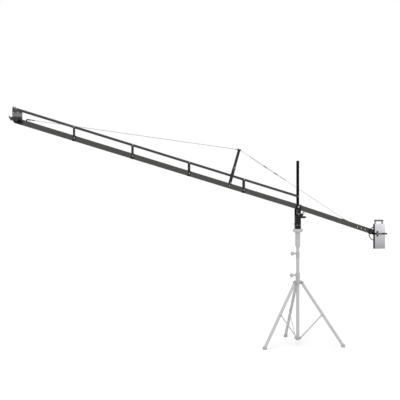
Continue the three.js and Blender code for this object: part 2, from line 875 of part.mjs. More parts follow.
// Boom sections, told from the pivot to the head
const jointPlaces = Array.from({ length: jointCount }, (unused, index) => {
  return { name: `joint_block_${index + 1}`, x: -firstJointReach - index * jointPitch };
});
const tubeAt = (x0, x1) => boxTube(x0, x1, boomHalfWide, boomHalfHigh, boomWall);
const sectionGap = jointWebHalf + slip;
const boomBushBody = across(boomBush, 0, 0, weld - boomHalfWide, boomHalfWide - weld, midSides);
const boomBore = across(pivotBoltRadius + slip, 0, 0, -boomHalfWide - weld, boomHalfWide + weld, midSides);
const firstTube = tubeAt(jointPlaces[0].x + sectionGap, armStart);
const boomScrew = round(
  boomScrewRadius,
  point(boomScrewX, 0, boomHalfHigh - weld),
  point(boomScrewX, 0, boomHalfHigh + boomScrewHigh),
);
const firstSection = cut(fuse(firstTube, boomBushBody, boomScrew), boomBore);
part("boom_section_1", firstSection, boomGrey, boomFrame);
const kingBoltBore = (z) => across(kingBoltRadius + slip, kingX, z, -barOut - weld, barOut + weld);
const secondTube = tubeAt(jointPlaces[1].x + sectionGap, jointPlaces[0].x - sectionGap);
part("boom_section_2", cut(secondTube, kingBoltBore(0)), boomGrey, boomFrame);
const thirdTube = tubeAt(jointPlaces[2].x + sectionGap, jointPlaces[1].x - sectionGap);
part("boom_section_3", thirdTube, boomGrey, boomFrame);
const fourthTube = tubeAt(jointPlaces[3].x + sectionGap, jointPlaces[2].x - sectionGap);
part("boom_section_4", fourthTube, boomGrey, boomFrame);
const fifthTube = tubeAt(-endBlockStart + slip, jointPlaces[3].x - sectionGap);
part("boom_section_5", fifthTube, boomGrey, boomFrame);

// Joint blocks: an outer collar, a web and spigots that plug into both tubes
const spigotHalfY = boomHalfWide - boomWall - slip;
const spigotHalfZ = boomHalfHigh - boomWall - slip;
const collarHalfY = boomHalfWide + collarProud;
const collarHalfZ = boomHalfHigh + collarProud;
jointPlaces.forEach(({ name, x }) => {
  const spigot = boxTube(x - spigotHalf, x + spigotHalf, spigotHalfY, spigotHalfZ, spigotWall);
  const sleeve = box(
    x - collarLong / 2,
    x + collarLong / 2,
    -collarHalfY,
    collarHalfY,
    -collarHalfZ,
    collarHalfZ,
  );
  const window = box(
    x - collarLong,
    x + collarLong,
    -boomHalfWide - slip,
    boomHalfWide + slip,
    -boomHalfHigh - slip,
    boomHalfHigh + slip,
  );
  const web = box(x - jointWebHalf, x + jointWebHalf, -collarHalfY, collarHalfY, -collarHalfZ, collarHalfZ);
  const bore = across(linkPinRadius + slip, x, 0, -barOut, barOut);
  const block = cut(fuse(cut(sleeve, window), web, spigot), bore);
  part(name, block, blackPaint, boomFrame);
});

// Front end block with a round nose around the head pivot
const noseShape = new THREE.Shape();
noseShape.moveTo(-endBlockStart, -boomHalfHigh);
noseShape.lineTo(-endBlockStart, boomHalfHigh);
noseShape.lineTo(-headReach, boomHalfHigh);
noseShape.absarc(-headReach, 0, boomHalfHigh, Math.PI / 2, 3 * Math.PI / 2, false);
noseShape.closePath();
const nosePlug = box(
  -endBlockStart - weld,
  -endBlockStart + spigotHalf,
  -spigotHalfY,
  spigotHalfY,
  -spigotHalfZ,
  spigotHalfZ,
);
const nosePin = across(headPinRadius + slip, -headReach, 0, -barOut, barOut);
const nose = cut(fuse(slab(noseShape, -boomHalfWide, boomHalfWide), nosePlug), nosePin);
part("boom_end_block", nose, blackPaint, boomFrame);

// Rear arm with its lightening holes, and a plug that slides into the first section
const armTube = tubeAt(armStart + 3 * slip, armEnd);
const armHole = (count, radius) => {
  const place = armFirstHole + count * armHolePitch;
  return across(radius, place, 0, -boomHalfWide - weld, boomHalfWide + weld, midSides);
};
const toArm = turnY(-rearDroop * degree);
const armPlugBody = moved(
  boxTube(
    armStart - armPlug,
    armStart + armPlug / 2,
    spigotHalfY - slip,
    spigotHalfZ - 2 * weld,
    spigotWall,
  ),
  toArm,
);
const plugBoltRoom = across(boomBush + weld, 0, 0, -boomHalfWide, boomHalfWide, midSides);
const armWeb = box(
  armStart + 3 * slip,
  armStart + armWebThick,
  -boomHalfWide + weld,
  boomHalfWide - weld,
  -boomHalfHigh + weld,
  boomHalfHigh - weld,
);
const armSolid = cut(
  fuse(armTube, armWeb, cut(armPlugBody, plugBoltRoom)),
  armHole(0, armHoleRadius),
  armHole(1, armHoleRadius),
  armHole(2, armHoleRadius),
  armHole(3, armLastHoleRadius),
);
part("rear_arm", armSolid, boomGrey, armFrame);

// Tilt quadrant on the far side of the arm
const arcAt = (radius, angle) => [radius * Math.cos(angle * degree), -radius * Math.sin(angle * degree)];
function arcBand(inner, outer, first, last) {
  const steps = 3 * arcSteps;
  const angles = Array.from({ length: steps + 1 }, (unused, step) => first + (last - first) * step / steps);
  const near = angles.map((angle) => arcAt(inner, angle));
  const far = angles.map((angle) => arcAt(outer, angle)).reverse();
  return outline([...near, ...far]);
}
const quadrantBand = slab(
  arcBand(quadrantRadius - quadrantHalf, quadrantRadius + quadrantHalf, 0, quadrantLast + quadrantMargin),
  quadrantBack,
  quadrantFront,
);
const knobSweep = Math.hypot(tiltKnobX, tiltKnobDrop);
const quadrantSlot = slab(
  arcBand(knobSweep - slotHalf, knobSweep + slotHalf, quadrantFirst, quadrantLast),
  quadrantBack - weld,
  quadrantFront + weld,
);
const quadrantFoot = fuse(
  box(quadrantRadius, footEnd, quadrantBack, quadrantFront, -footHalf, footHalf),
  box(footStart, footEnd, boomHalfWide + slip, quadrantBack + weld, -footHalf, footHalf),
);
part("tilt_quadrant", fuse(cut(quadrantBand, quadrantSlot), quadrantFoot), blackPaint, armFrame);

// Levelling rod
const rodPipe = moved(
  pipe(rodRadius, rodRadius - rodWall, -headReach - rodEnd, rodEnd, midSides),
  turnToX,
);
const rodBores = [
  { x: 0 },
  { x: -headReach },
  ...jointPlaces,
].map(({ x }) => across(linkPinRadius + slip, x, 0, -barOut, barOut));
part("parallel_rod", cut(rodPipe, ...rodBores), boomGrey, rodFrame);

// Upright links between boom and rod
jointPlaces.forEach(({ x }, index) => {
  const place = point(x, 0, 0).applyMatrix4(boomFrame);
  const flats = bothSides((side) => {
    const near = Math.min(side * barIn, side * barOut);
    const far = Math.max(side * barIn, side * barOut);
    return slab(strip(0, 0, 0, linkRise, linkHalf), near, far);
  });
  const headAt = (z) => bothSides((side) => {
    const inner = side * (barOut - weld);
    const outer = side * (barOut + linkHeadThick);
    return across(linkHeadRadius, 0, z, Math.min(inner, outer), Math.max(inner, outer));
  });
  const spacers = bothSides((side) => {
    const inner = side * (rodRadius + slip);
    const outer = side * (barIn + weld);
    return across(linkSpacer, 0, linkRise, Math.min(inner, outer), Math.max(inner, outer));
  });
  const pins = fuse(
    across(linkPinRadius, 0, 0, -barOut, barOut),
    across(linkPinRadius, 0, linkRise, -barOut, barOut),
  );
  const link = fuse(flats, pins, headAt(0), headAt(linkRise), spacers);
  part(`link_pair_${index + 1}`, link, blackPaint, shift(place.x, 0, place.z));
});

// King post fork that straddles boom and rod, and the tube with its saddle head
const forkPlates = bothSides((side) => {
  const near = Math.min(side * barIn, side * barOut);
  const far = Math.max(side * barIn, side * barOut);
  return fuse(
    slab(strip(kingX, 0, kingX, kingForkTop - kingForkHalf, kingForkHalf), near, far),
    across(linkHeadRadius, kingX, 0, side * barOut, side * (barOut + linkHeadThick)),
    across(linkHeadRadius, kingX, kingBoltTop, side * barOut, side * (barOut + linkHeadThick)),
    across(linkHeadRadius, kingX, kingRestRise, side * barOut, side * (barOut + linkHeadThick)),
  );
});
const forkBolts = fuse(
  across(kingBoltRadius, kingX, 0, -barOut, barOut),
  across(kingRestRadius, kingX, kingRestRise, -barOut, barOut),
  across(kingBoltRadius, kingX, kingBoltTop, -barOut, barOut),
  across(kingBoltRadius, kingX, kingBoltLow, -barOut, barOut),
);
part("king_fork", fuse(forkPlates, forkBolts), blackPaint, boomFrame);

const kingOuter = box(
  kingX - kingTubeHalfX,
  kingX + kingTubeHalfX,
  -kingTubeHalfY,
  kingTubeHalfY,
  kingTubeStart,
  kingTubeTop,
);
const kingInner = box(
  kingX - kingTubeHalfX + kingTubeWall,
  kingX + kingTubeHalfX - kingTubeWall,
  kingTubeWall - kingTubeHalfY,
  kingTubeHalfY - kingTubeWall,
  kingTubeStart - weld,
  kingTubeTop - kingTubeWall,
);
const saddleBlock = box(
  kingX - kingHeadHalf,
  kingX + kingHeadHalf,
  -kingHeadCheekOut,
  kingHeadCheekOut,
  kingTubeTop - weld,
  kingHeadTop,
);
const saddleSlot = box(
  kingX - kingHeadHalf - weld,
  kingX + kingHeadHalf + weld,
  -kingHeadCheekIn,
  kingHeadCheekIn,
  kingPinRise - kingHeadFoot,
  kingHeadTop + weld,
);
const kingHoles = [kingBoltLow, kingBoltTop].map((z) => kingBoltBore(z));
const kingPin = across(stayPinRadius, kingX, kingPinRise, -kingPinReach, kingPinReach);
const kingPinHeads = bothSides((side) => {
  const inner = side * (kingPinReach - weld);
  const outer = side * (kingPinReach + frontAnchorHeadThick);
  return across(frontAnchorHead, kingX, kingPinRise, Math.min(inner, outer), Math.max(inner, outer));
});
const kingShell = fuse(cut(kingOuter, kingInner), saddleBlock);
const kingTube = fuse(cut(kingShell, saddleSlot, ...kingHoles), kingPin, kingPinHeads);
part("king_tube", kingTube, blackPaint, boomFrame);

// Front cross anchor and the pair of front stays
const frontBase = box(
  frontAnchorX - frontAnchorHalf,
  frontAnchorX + frontAnchorHalf,
  -frontAnchorCheek,
  frontAnchorCheek,
  boomHalfHigh + slip,
  frontAnchorTop,
);
const frontBar = across(stayPinRadius, frontAnchorX, frontAnchorRise, -frontAnchorReach, frontAnchorReach);
const frontHeads = bothSides((side) => {
  const inner = side * (frontAnchorReach - frontAnchorHeadThick);
  const outer = side * frontAnchorReach;
  const near = Math.min(inner, outer);
  return across(frontAnchorHead, frontAnchorX, frontAnchorRise, near, Math.max(inner, outer));
});
part("front_anchor", fuse(frontBase, frontBar, frontHeads), blackPaint, boomFrame);

function frontStay(side) {
  const front = point(frontAnchorX, side * frontEyeSide, frontAnchorRise);
  const back = point(kingX, side * kingEyeSide, kingPinRise);
  const run = back.clone().sub(front).normalize();
  const along = (start, reach) => start.clone().addScaledVector(run, reach);
  return fuse(
    eye(front.x, front.y, front.z),
    eye(back.x, back.y, back.z),
    round(frontWire, along(front, eyeRadius), along(back, -eyeRadius), wireSides),
    round(ferruleRadius, along(front, eyeRadius + eyeWire), along(front, frontFerrule), wireSides),
    round(ferruleRadius, along(back, -eyeRadius - eyeWire), along(back, -frontFerrule), wireSides),
  );
}
part("front_stay_near", frontStay(-1), wire, boomFrame);
part("front_stay_far", frontStay(1), wire, boomFrame);

// Rear anchor on the arm
const rearPlate = box(
  rearAnchorFront,
  rearAnchorBack,
  -rearAnchorHalf,
  rearAnchorHalf,
  boomHalfHigh + slip,
  boomHalfHigh + slip + rearAnchorPlate,
);
const rearCheeks = box(
  rearAnchorX - rearCheekHalf,
  rearAnchorX + rearCheekHalf,
  -rearCheekOut,
  rearCheekOut,
  boomHalfHigh + slip,
  rearCheekTop,
);
const rearSlot = box(
  rearAnchorX - 2 * rearCheekHalf,
  rearAnchorX + 2 * rearCheekHalf,
  -rearCheekIn,
  rearCheekIn,
  boomHalfHigh,
  rearCheekTop + weld,
);
const rearPin = across(
  stayPinRadius,
  rearAnchorX,
  rearAnchorRise,
  -rearCheekOut - weld,
  rearCheekOut + weld,
);
part("rear_anchor", fuse(cut(fuse(rearPlate, rearCheeks), rearSlot), rearPin), blackPaint, armFrame);

// Rear stay: local X runs from the king post head down to the rear anchor
const kingEnd = point(kingX, 0, kingPinRise).applyMatrix4(boomFrame);
const rearEnd = point(rearAnchorX, 0, rearAnchorRise).applyMatrix4(armFrame);
const stayRun = rearEnd.x - kingEnd.x;
const stayDrop = kingEnd.z - rearEnd.z;
const stayLength = Math.hypot(stayRun, stayDrop);
const stayFrame = shift(kingEnd.x, 0, kingEnd.z).multiply(turnY(Math.atan2(stayDrop, stayRun)));
const rearFerruleEnd = stayLength - 2 * rearCheekHalf;
const alongX = (radius, x0, x1, sides) => round(radius, point(x0, 0, 0), point(x1, 0, 0), sides);
function loop(x0, x1) {
  const start = x0 + loopHalf;
  const end = x1 - loopHalf;
  const outer = slab(strip(start, 0, end, 0, loopHalf), -eyeWire, eyeWire);
  const inner = slab(strip(start, 0, end, 0, loopHalf - 2 * eyeWire), -2 * eyeWire, 2 * eyeWire);
  return cut(outer, inner);
}
const upperStay = fuse(
  eye(0, 0, 0),
  alongX(rearWire, eyeRadius, upperFerruleEnd, wireSides),
  alongX(ferruleRadius, upperFerruleStart, upperFerruleEnd, wireSides),
  loop(upperFerruleEnd - weld, upperLoopEnd),
  loop(upperLoopEnd - eyeWire, bodyStart - screwInside / 2),
  alongX(screwRadius, bodyStart - screwInside / 2 - eyeWire, bodyStart + screwInside, wireSides),
);
part("rear_stay_upper", upperStay, wire, stayFrame);
const lowerStay = fuse(
  alongX(screwRadius, bodyEnd - screwInside, bodyEnd + screwInside / 3, wireSides),
  loop(bodyEnd + screwInside / 3 - eyeWire, bodyEnd + screwInside),
  loop(bodyEnd + screwInside - eyeWire, lowerFerruleStart + weld),
  alongX(ferruleRadius, lowerFerruleStart, lowerFerruleEnd, wireSides),
  alongX(rearWire, lowerFerruleStart, stayLength - eyeRadius, wireSides),
  alongX(ferruleRadius, rearFerruleEnd - rearEndFerrule, rearFerruleEnd, wireSides),
  eye(stayLength, 0, 0),
);
part("rear_stay_lower", lowerStay, wire, stayFrame);

// Turnbuckle body: two bars between two nuts
const buckleBars = bothSides((side) => round(
  bodyBarRadius,
  point(bodyStart, 0, side * bodyBarOffset),
  point(bodyEnd, 0, side * bodyBarOffset),
  wireSides,
));
const buckleNuts = fuse(
  alongX(bodyNutRadius, bodyStart, bodyStart + bodyNutLong, smallSides),
  alongX(bodyNutRadius, bodyEnd - bodyNutLong, bodyEnd, smallSides),
);
const buckleBore = alongX(screwRadius + slip, bodyStart - weld, bodyEnd + weld, smallSides);
part("turnbuckle", cut(fuse(buckleBars, buckleNuts), buckleBore), steel, stayFrame);

// Camera head bracket: two finned plates with pins and spacers
const headShape = outline([
  [plateLeft, plateShoulder],
  [plateLeft, plateLow],
  [-linkHalf, -linkHalf],
  [linkHalf, -linkHalf],
  [linkHalf + plateLow, plateLow],
  [plateRight, plateLow],
  [plateRight, plateShoulder],
  [finSecondX + finHalf, finValley],
  [finSecondX, finSecondRise],
  [(finFirstX + finSecondX) / 2, finValley],
  [finFirstX, finRise],
  [finFirstX - finHalf, finValley],
]);
const headPlates = bothSides((side) => {
  const near = Math.min(side * barIn, side * barOut);
  const far = Math.max(side * barIn, side * barOut);
  return slab(headShape, near, far);
});
const headPinWashers = bothSides((side) => {
  const inner = side * (boomHalfWide + slip);
  const outer = side * (barIn + weld);
  return across(washerRadius, 0, 0, Math.min(inner, outer), Math.max(inner, outer), midSides);
});
const headRodSpacers = bothSides((side) => {
  const inner = side * (rodRadius + slip);
  const outer = side * (barIn + weld);
  return across(linkSpacer, 0, linkRise, Math.min(inner, outer), Math.max(inner, outer));
});
const headRodHeads = bothSides((side) => {
  const inner = side * (barOut - weld);
  const outer = side * (barOut + linkHeadThick);
  return across(linkHeadRadius, 0, linkRise, Math.min(inner, outer), Math.max(inner, outer));
});
const bracket = fuse(
  headPlates,
  across(headPinRadius, 0, 0, -barOut, barOut),
  across(linkPinRadius, 0, linkRise, -barOut, barOut),
  across(spacerRadius, spacerFrontX, spacerFrontRise, -barIn - weld, barIn + weld),
  across(spacerRadius, spacerBackX, spacerBackRise, -barIn - weld, barIn + weld),
  headPinWashers,
  headRodSpacers,
  headRodHeads,
);
part("head_bracket", bracket, boomGrey, headFrame);

// Camera tray that straddles the boom end, with a sloped front lip
const traySide = outline([
  [trayLipX, trayLipRise],
  [-trayHalf, trayLow],
  [trayHalf, trayLow],
  [trayHalf, trayHigh],
  [-trayHalf, trayHigh],
  [trayLipX, trayLipRise + weld],
]);
const trayGap = box(trayInnerFront, trayHalf + weld, -barOut, barOut, trayLow - weld, trayHigh + weld);
const trayScrewBore = round(
  screwRadiusCamera + slip,
  point(screwX, 0, trayLow - weld),
  point(screwX, 0, trayHigh + weld),
);
const tray = cut(slab(traySide, -trayOut, trayOut), trayGap, trayScrewBore);
part("camera_tray", tray, blackPaint, headFrame);
const screwHead = disc(
  screwKnobRadius,
  trayLow - slip - screwKnobThick,
  trayLow - slip,
  screwKnobEdge,
  midSides,
);
const screwStem = disc(screwRadiusCamera, trayLow - slip - weld, trayHigh + screwProud, 0, smallSides);
const cameraScrew = fuse(screwHead, screwStem);
part("camera_screw", cameraScrew, steel, headFrame.clone().multiply(shift(screwX, 0, 0)));

// Axle block in the rear end of the arm
const axleBlockBody = fuse(
  box(armEnd + slip, axleBlockEnd, -boomHalfWide, boomHalfWide, -boomHalfHigh, boomHalfHigh),
  box(armEnd - spigotHalf / 2, armEnd + slip + weld, -spigotHalfY, spigotHalfY, -spigotHalfZ, spigotHalfZ),
  across(axleRadius, axleX, -axleDrop, -stackFront - leverHubThick, 0, midSides),
);
part("axle_block", axleBlockBody, blackPaint, armFrame);

// Hand ring between the arm and the weights
const ringMiddle = -boomHalfWide - 2 * seat - ringTube - weld;
const ringHubHalf = ringTube;
const ringSpokeThick = ringTube * ringSpokeThickShare;
const ringBody = cut(
  fuse(
    hoop(ringRadius, ringTube, 0, ringMiddle, 0, ringSteps, ringRoundSteps),
    slab(
      strip(-ringRadius, 0, ringRadius, 0, ringSpokeHalf),
      ringMiddle - ringSpokeThick,
      ringMiddle + ringSpokeThick,
    ),
    across(ringHub, 0, 0, ringMiddle - ringHubHalf, ringMiddle + ringHubHalf, midSides),
  ),
  across(axleRadius + slip, 0, 0, -stackFront, 0, midSides),
);
part("hand_ring", ringBody, blackPlastic, axleFrame);

// Weight stack with its axle slot and handle window
const stackBlock = box(stackLeft, stackRight, -stackFront, -stackBack, stackLow, stackHigh);
const handleDepth = stackThick * handleThickShare / 2;
const stackMiddle = -(stackFront + stackBack) / 2;
const handleBlock = box(
  stackLeft + handleSet,
  stackRight - handleFarSet,
  stackMiddle - handleDepth,
  stackMiddle + handleDepth,
  stackHigh - weld,
  handleTop,
);
const handleWindow = box(
  stackLeft + handleSet + handleSide,
  stackRight - handleFarSet - handleSide,
  -stackFront,
  -stackBack,
  stackHigh,
  handleTop - handleBar,
);
const axleSlot = fuse(
  box(stackLeft - weld, 0, -stackFront - weld, -stackBack + weld, -axleRadius - slip, axleRadius + slip),
  across(axleRadius + slip, 0, 0, -stackFront - weld, -stackBack + weld, midSides),
);
part("weight_stack", cut(fuse(stackBlock, cut(handleBlock, handleWindow)), axleSlot), steel, axleFrame);

// Clamp lever on the axle end
const leverBack = -stackFront - slip;
const leverFace = leverBack - leverHubThick;
const leverMiddle = (leverBack + leverFace) / 2;
const leverBody = cut(
  fuse(
    across(leverHubRadius, 0, 0, leverFace, leverBack, midSides),
    slab(strip(0, -leverWingReach, 0, leverWingReach, leverWingRound), leverFace, leverMiddle),
    slab(strip(0, 0, leverGripEnd - leverGripRound, 0, leverArmRound), leverFace, leverMiddle),
    slab(strip(leverGripStart, 0, leverGripEnd - leverGripRound, 0, leverGripRound), leverFace, leverBack),
  ),
  across(axleRadius + slip, 0, 0, -stackFront - leverHubThick - slip, leverBack + weld, midSides),
);
part("clamp_lever", leverBody, blackPlastic, axleFrame);

export default group;
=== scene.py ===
"""Camera jib crane: the looks of every piece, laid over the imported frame.

Lengths are in millimetres, in a frame of each piece's own, until the piece is placed in metres.
"""

import math

import bmesh
import bpy
import numpy as np
from mathutils import Matrix, Vector


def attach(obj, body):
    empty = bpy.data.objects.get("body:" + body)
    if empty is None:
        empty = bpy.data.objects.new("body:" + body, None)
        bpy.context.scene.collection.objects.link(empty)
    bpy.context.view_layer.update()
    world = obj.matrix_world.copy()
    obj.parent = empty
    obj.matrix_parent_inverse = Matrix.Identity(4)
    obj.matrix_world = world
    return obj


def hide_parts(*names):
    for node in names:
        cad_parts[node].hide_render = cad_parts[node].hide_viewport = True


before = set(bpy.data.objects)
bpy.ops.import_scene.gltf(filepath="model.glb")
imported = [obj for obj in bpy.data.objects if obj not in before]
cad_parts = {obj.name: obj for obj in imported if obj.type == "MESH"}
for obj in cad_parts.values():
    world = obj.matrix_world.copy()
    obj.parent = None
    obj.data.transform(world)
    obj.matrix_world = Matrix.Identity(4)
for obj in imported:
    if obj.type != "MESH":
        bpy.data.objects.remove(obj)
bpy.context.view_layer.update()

MM = 0.001
MERGE = 2e-6  # metres; points nearer than this are one point
SHARP = math.radians(38.0)  # faces that meet at a larger angle keep a sharp edge

# Boom: its pivot's height, its slopes, and places along it and above its axis
PIVOT = 1381.0
TILT = math.radians(16.2)
ARM = math.radians(17.6)
RISE = 110.0  # from the boom's axis up to the levelling rod's
JOINTS = (-610.0, -1207.0, -1804.0, -2401.0)
PARTING = 8.3  # from a joint's middle to the end of the tube beside it
NOSE_START = -2909.0
HEAD_X = -2975.0
KING_X = -771.0
STAY_PIN = (KING_X, 384.0)
ANCHOR = (-2880.0, 40.0)
REAR_ANCHOR = (536.0, 31.5)
ARM_END = 885.0
ARM_HOLES = [(705 + 46.6 * step, radius) for step, radius in enumerate((9.75, 9.75, 9.75, 6.5))]
AXLE = (912.0, -10.0)

# Box tube of boom and arm, the plug that fits in it, and the flat bars beside it
HALF_Y, HALF_Z, WALL = 14.0, 26.0, 2.0
PLUG = (11.7, 23.7, 3.0, 1.5)  # half width, half height, wall and corner
BAR_IN, BAR_OUT = 16.0, 20.0

# Yoke: half its width, the inner faces of its plates, and its locks
YOKE_HALF, PLATE_IN = 26.5, 22.0
PAN_LOCK_Z = 1273.0
SAFETY_Z = 1204.0
TILT_LOCK = (61.0, -82.0)  # from the boom pivot

# Camera head and counterweight
HEAD_BARS = ((-24, 73), (16, 76))
SCREW_X = -42.0
BORE = 8.3  # radius round the weight axle
RING_Y = -19.45
LEVER = (-78.9, -68.1)  # outer and inner depth

# Stand: reach from its axis and height; a leg runs from its pivot to its foot, a brace meets it on the way
LEG_TURNS = [math.radians(a) for a in (-34.5, -154.5, 85.5)]
FLOOR = -46.0
FOOT_REACH = 484.0
LEG_PIVOT = (42.0, 596.0)
HUB_PIVOT = (28.0, 22.0)
JOIN_REACH = 384.0  # from the leg's pivot along the leg to the brace
CLAMP_KNOB_Z = 898.0
COLLAR_KNOB_Z = 673.0


# Frames: each is a matrix that takes a local point in millimetres to the shared frame in millimetres
def shift(x, y, z):
    return np.array(Matrix.Translation((x, y, z)))


def turn(angle, axis):
    return np.array(Matrix.Rotation(angle, 4, axis))


def plane_point(base, x, z):
    """A point of the boom's middle plane in the shared frame."""
    return (base @ np.array([x, 0, z, 1.0]))[:3]


def upright(base, x, z):
    """An untilted frame at the place of one tilted point."""
    return shift(*plane_point(base, x, z))


HERE = np.eye(4)
AT_PIVOT = shift(0, 0, PIVOT)
ON_BOOM = AT_PIVOT @ turn(TILT, "Y")
ON_ARM = AT_PIVOT @ turn(ARM, "Y")
ON_ROD = shift(0, 0, PIVOT + RISE) @ turn(TILT, "Y")
AT_HEAD = upright(ON_BOOM, HEAD_X, 0)
AT_AXLE = upright(ON_ARM, *AXLE)
KING_END = plane_point(ON_BOOM, *STAY_PIN)
STAY_SPAN = plane_point(ON_ARM, *REAR_ANCHOR) - KING_END
STAY_LONG = float(np.linalg.norm(STAY_SPAN))
ON_STAY = shift(*KING_END) @ turn(math.atan2(-STAY_SPAN[2], STAY_SPAN[0]), "Y")


# Outlines: closed rings of points in a plane, told as (u, v)
def arc(u, v, radius, angle):
    """Points of a circle at the given angles."""
    return np.stack([u + radius * np.cos(angle), v + radius * np.sin(angle)], 1)


def ring_points(u, v, radius, count):
    """Points at equal angles on a circle."""
    return arc(u, v, radius, np.linspace(0, 2 * np.pi, count, endpoint=False))


def arc_band(u, v, outer, inner, start, end, count):
    """A curved strip: an outer arc between two angles in degrees, and an inner one back."""
    angle = np.radians(np.linspace(start, end, count))
    return np.concatenate([arc(u, v, outer, angle), arc(u, v, inner, angle)[::-1]])


def capsule(u0, v0, u1, v1, radius):
    """Half circles about two ends, joined by straight sides."""
    half = np.linspace(np.pi / 2, 3 * np.pi / 2, 12) + math.atan2(v1 - v0, u1 - u0)
    return np.concatenate([arc(u0, v0, radius, half), arc(u1, v1, -radius, half)])


def rounded(points, radius, count=4):
    """Each corner becomes a quadratic arc that starts and ends one radius from it on its two sides."""
    points = np.array(points, float)
    before = np.roll(points, 1, 0) - points
    after = np.roll(points, -1, 0) - points
    long_before = np.linalg.norm(before, axis=1, keepdims=True)
    long_after = np.linalg.norm(after, axis=1, keepdims=True)
    first = points + before / long_before * np.minimum(radius, long_before * 0.45)
    last = points + after / long_after * np.minimum(radius, long_after * 0.45)
    t = np.linspace(0, 1, count + 1)[None, :, None]
    arcs = (1 - t) ** 2 * first[:, None] + 2 * t * (1 - t) * points[:, None] + t**2 * last[:, None]
    return arcs.reshape(-1, 2)


def rectangle(u0, u1, v0, v1, radius, count=4):
    return rounded([(u0, v0), (u1, v0), (u1, v1), (u0, v1)], radius, count)


def outward(outline):
    """Unit normals of a closed outline: the mean of two neighbouring sides, turned a quarter."""
    ahead = np.roll(outline, -1, 0) - outline
    ahead /= np.maximum(np.linalg.norm(ahead, axis=1, keepdims=True), 1e-9)
    mean = ahead + np.roll(ahead, 1, 0)
    mean /= np.maximum(np.linalg.norm(mean, axis=1, keepdims=True), 1e-9)
    u, v = outline[:, 0], outline[:, 1]
    area = np.sum(u * np.roll(v, -1) - np.roll(u, -1) * v)
    side = 1.0 if area > 0 else -1.0
    return np.stack([mean[:, 1], -mean[:, 0]], 1) * side


def round_lug(inner, middle, radius):
    """A lug's outline: two inner corners and a half circle about its middle."""
    return np.concatenate([inner, arc(*middle, radius, np.linspace(np.pi / 2, -np.pi / 2, 17))])


# Surfaces: each gives points and faces
def skin(rings, closed_along=False):
    """Quads between neighbouring closed rings of a grid of points (ring, step, xyz)."""
    along, around = rings.shape[:2]
    a = np.arange(along if closed_along else along - 1)[:, None]
    b = np.arange(around)[None, :]
    a2 = (a + 1) % along
    b2 = (b + 1) % around
    quads = np.stack([a * around + b, a * around + b2, a2 * around + b2, a2 * around + b], -1)
    return rings.reshape(-1, 3), quads.reshape(-1, 4).tolist()


def lay(outline, depth, way):
    """Puts plane points at a depth across the plane whose normal is the named axis."""
    u, v = outline[:, 0], outline[:, 1]
    w = np.broadcast_to(depth, u.shape)
    order = {"Y": (u, w, v), "X": (w, u, v), "Z": (u, v, w)}[way]
    return np.stack(order, 1)


def slab(outline, low, high, way, edge):
    """An outline carried from one depth to the other, drawn in by the edge width at both flat ends."""
    edge = min(edge, (high - low) / 2.5)
    normal = outward(outline)
    steps = [(low, edge), (low + edge * 0.3, edge * 0.3), (low + edge, 0), (high - edge, 0)]
    steps += [(high - edge * 0.3, edge * 0.3), (high, edge)]
    rings = np.stack([lay(outline - normal * inset, depth, way) for depth, inset in steps])
    points, faces = skin(rings)
    count = len(outline)
    last = len(points) - count
    return points, faces + [list(range(count)), list(range(last, last + count))]


def framed(outer, inner, low, high, way, edge):
    """A slab with one hole: outer wall, end, hole wall and other end follow one another."""
    out, within = outward(outer), outward(inner)
    loops = [
        lay(outer, low + edge, way),
        lay(outer, high - edge, way),
        lay(outer - out * edge, high, way),
        lay(inner + within * edge, high, way),
        lay(inner, high - edge, way),
        lay(inner, low + edge, way),
        lay(inner + within * edge, low, way),
        lay(outer - out * edge, low, way),
    ]
    return skin(np.stack(loops), closed_along=True)


def lathe(profile, way, sides, closed=False):
    """A profile of (radius, place along the axis) turned through a full circle about the named axis."""
    profile = np.array(profile, float)
    angle = np.linspace(0, 2 * np.pi, sides, endpoint=False)
    radius = profile[:, :1]
    a, b = radius * np.cos(angle), radius * np.sin(angle)
    c = np.broadcast_to(profile[:, 1:], a.shape)
    order = {"Z": (a, b, c), "Y": (a, c, b), "X": (c, a, b)}[way]
    return skin(np.stack(order, -1), closed_along=closed)


def pin(radius, low, high, way, sides, edge, at=(0, 0)):
    """A round bar with small chamfers; at gives its two other coordinates."""
    profile = [(0, low), (radius - edge, low), (radius, low + edge)]
    profile += [(radius, high - edge), (radius - edge, high), (0, high)]
    points, faces = lathe(profile, way, sides)
    offset = {"Y": (at[0], 0, at[1]), "X": (0, at[0], at[1]), "Z": (at[0], at[1], 0)}[way]
    return points + np.array(offset, float), faces


def torus(radius, tube, at, steps, sides, flute=0.0, flutes=0):
    """A circle carried round a larger one; its radius may dip with a cosine of the angle, for a grip."""
    around = np.linspace(0, 2 * np.pi, steps, endpoint=False)[:, None]
    across = np.linspace(0, 2 * np.pi, sides, endpoint=False)[None, :]
    thick = tube - flute * (0.5 - 0.5 * np.cos(flutes * around))
    reach = radius + thick * np.cos(across)
    grid = (reach * np.cos(around), thick * np.sin(across) + 0 * around, reach * np.sin(around))
    points, faces = skin(np.stack(grid, -1), closed_along=True)
    return points + np.array(at, float), faces


def lobed(radius, low, high, lobes, depth, way, edge):
    """A knob: a circle whose radius dips with a cosine of the angle, with rounded front and back."""
    sides = 96
    angle = np.linspace(0, 2 * np.pi, sides, endpoint=False)
    wave = depth * (0.5 - 0.5 * np.cos(lobes * angle))
    bend = np.linspace(0, np.pi / 2, 6)
    places = [(low + edge * (1 - math.cos(t)), edge * (1 - math.sin(t))) for t in bend]
    places += [(high - edge * (1 - math.cos(t)), edge * (1 - math.sin(t))) for t in bend[::-1]]
    rings = [lay(arc(0, 0, radius - inset - wave, angle), place, way) for place, inset in places]
    centre_low = np.repeat(lay(np.zeros((1, 2)), low, way), sides, 0)
    centre_high = np.repeat(lay(np.zeros((1, 2)), high, way), sides, 0)
    return skin(np.stack([centre_low] + rings + [centre_high]))


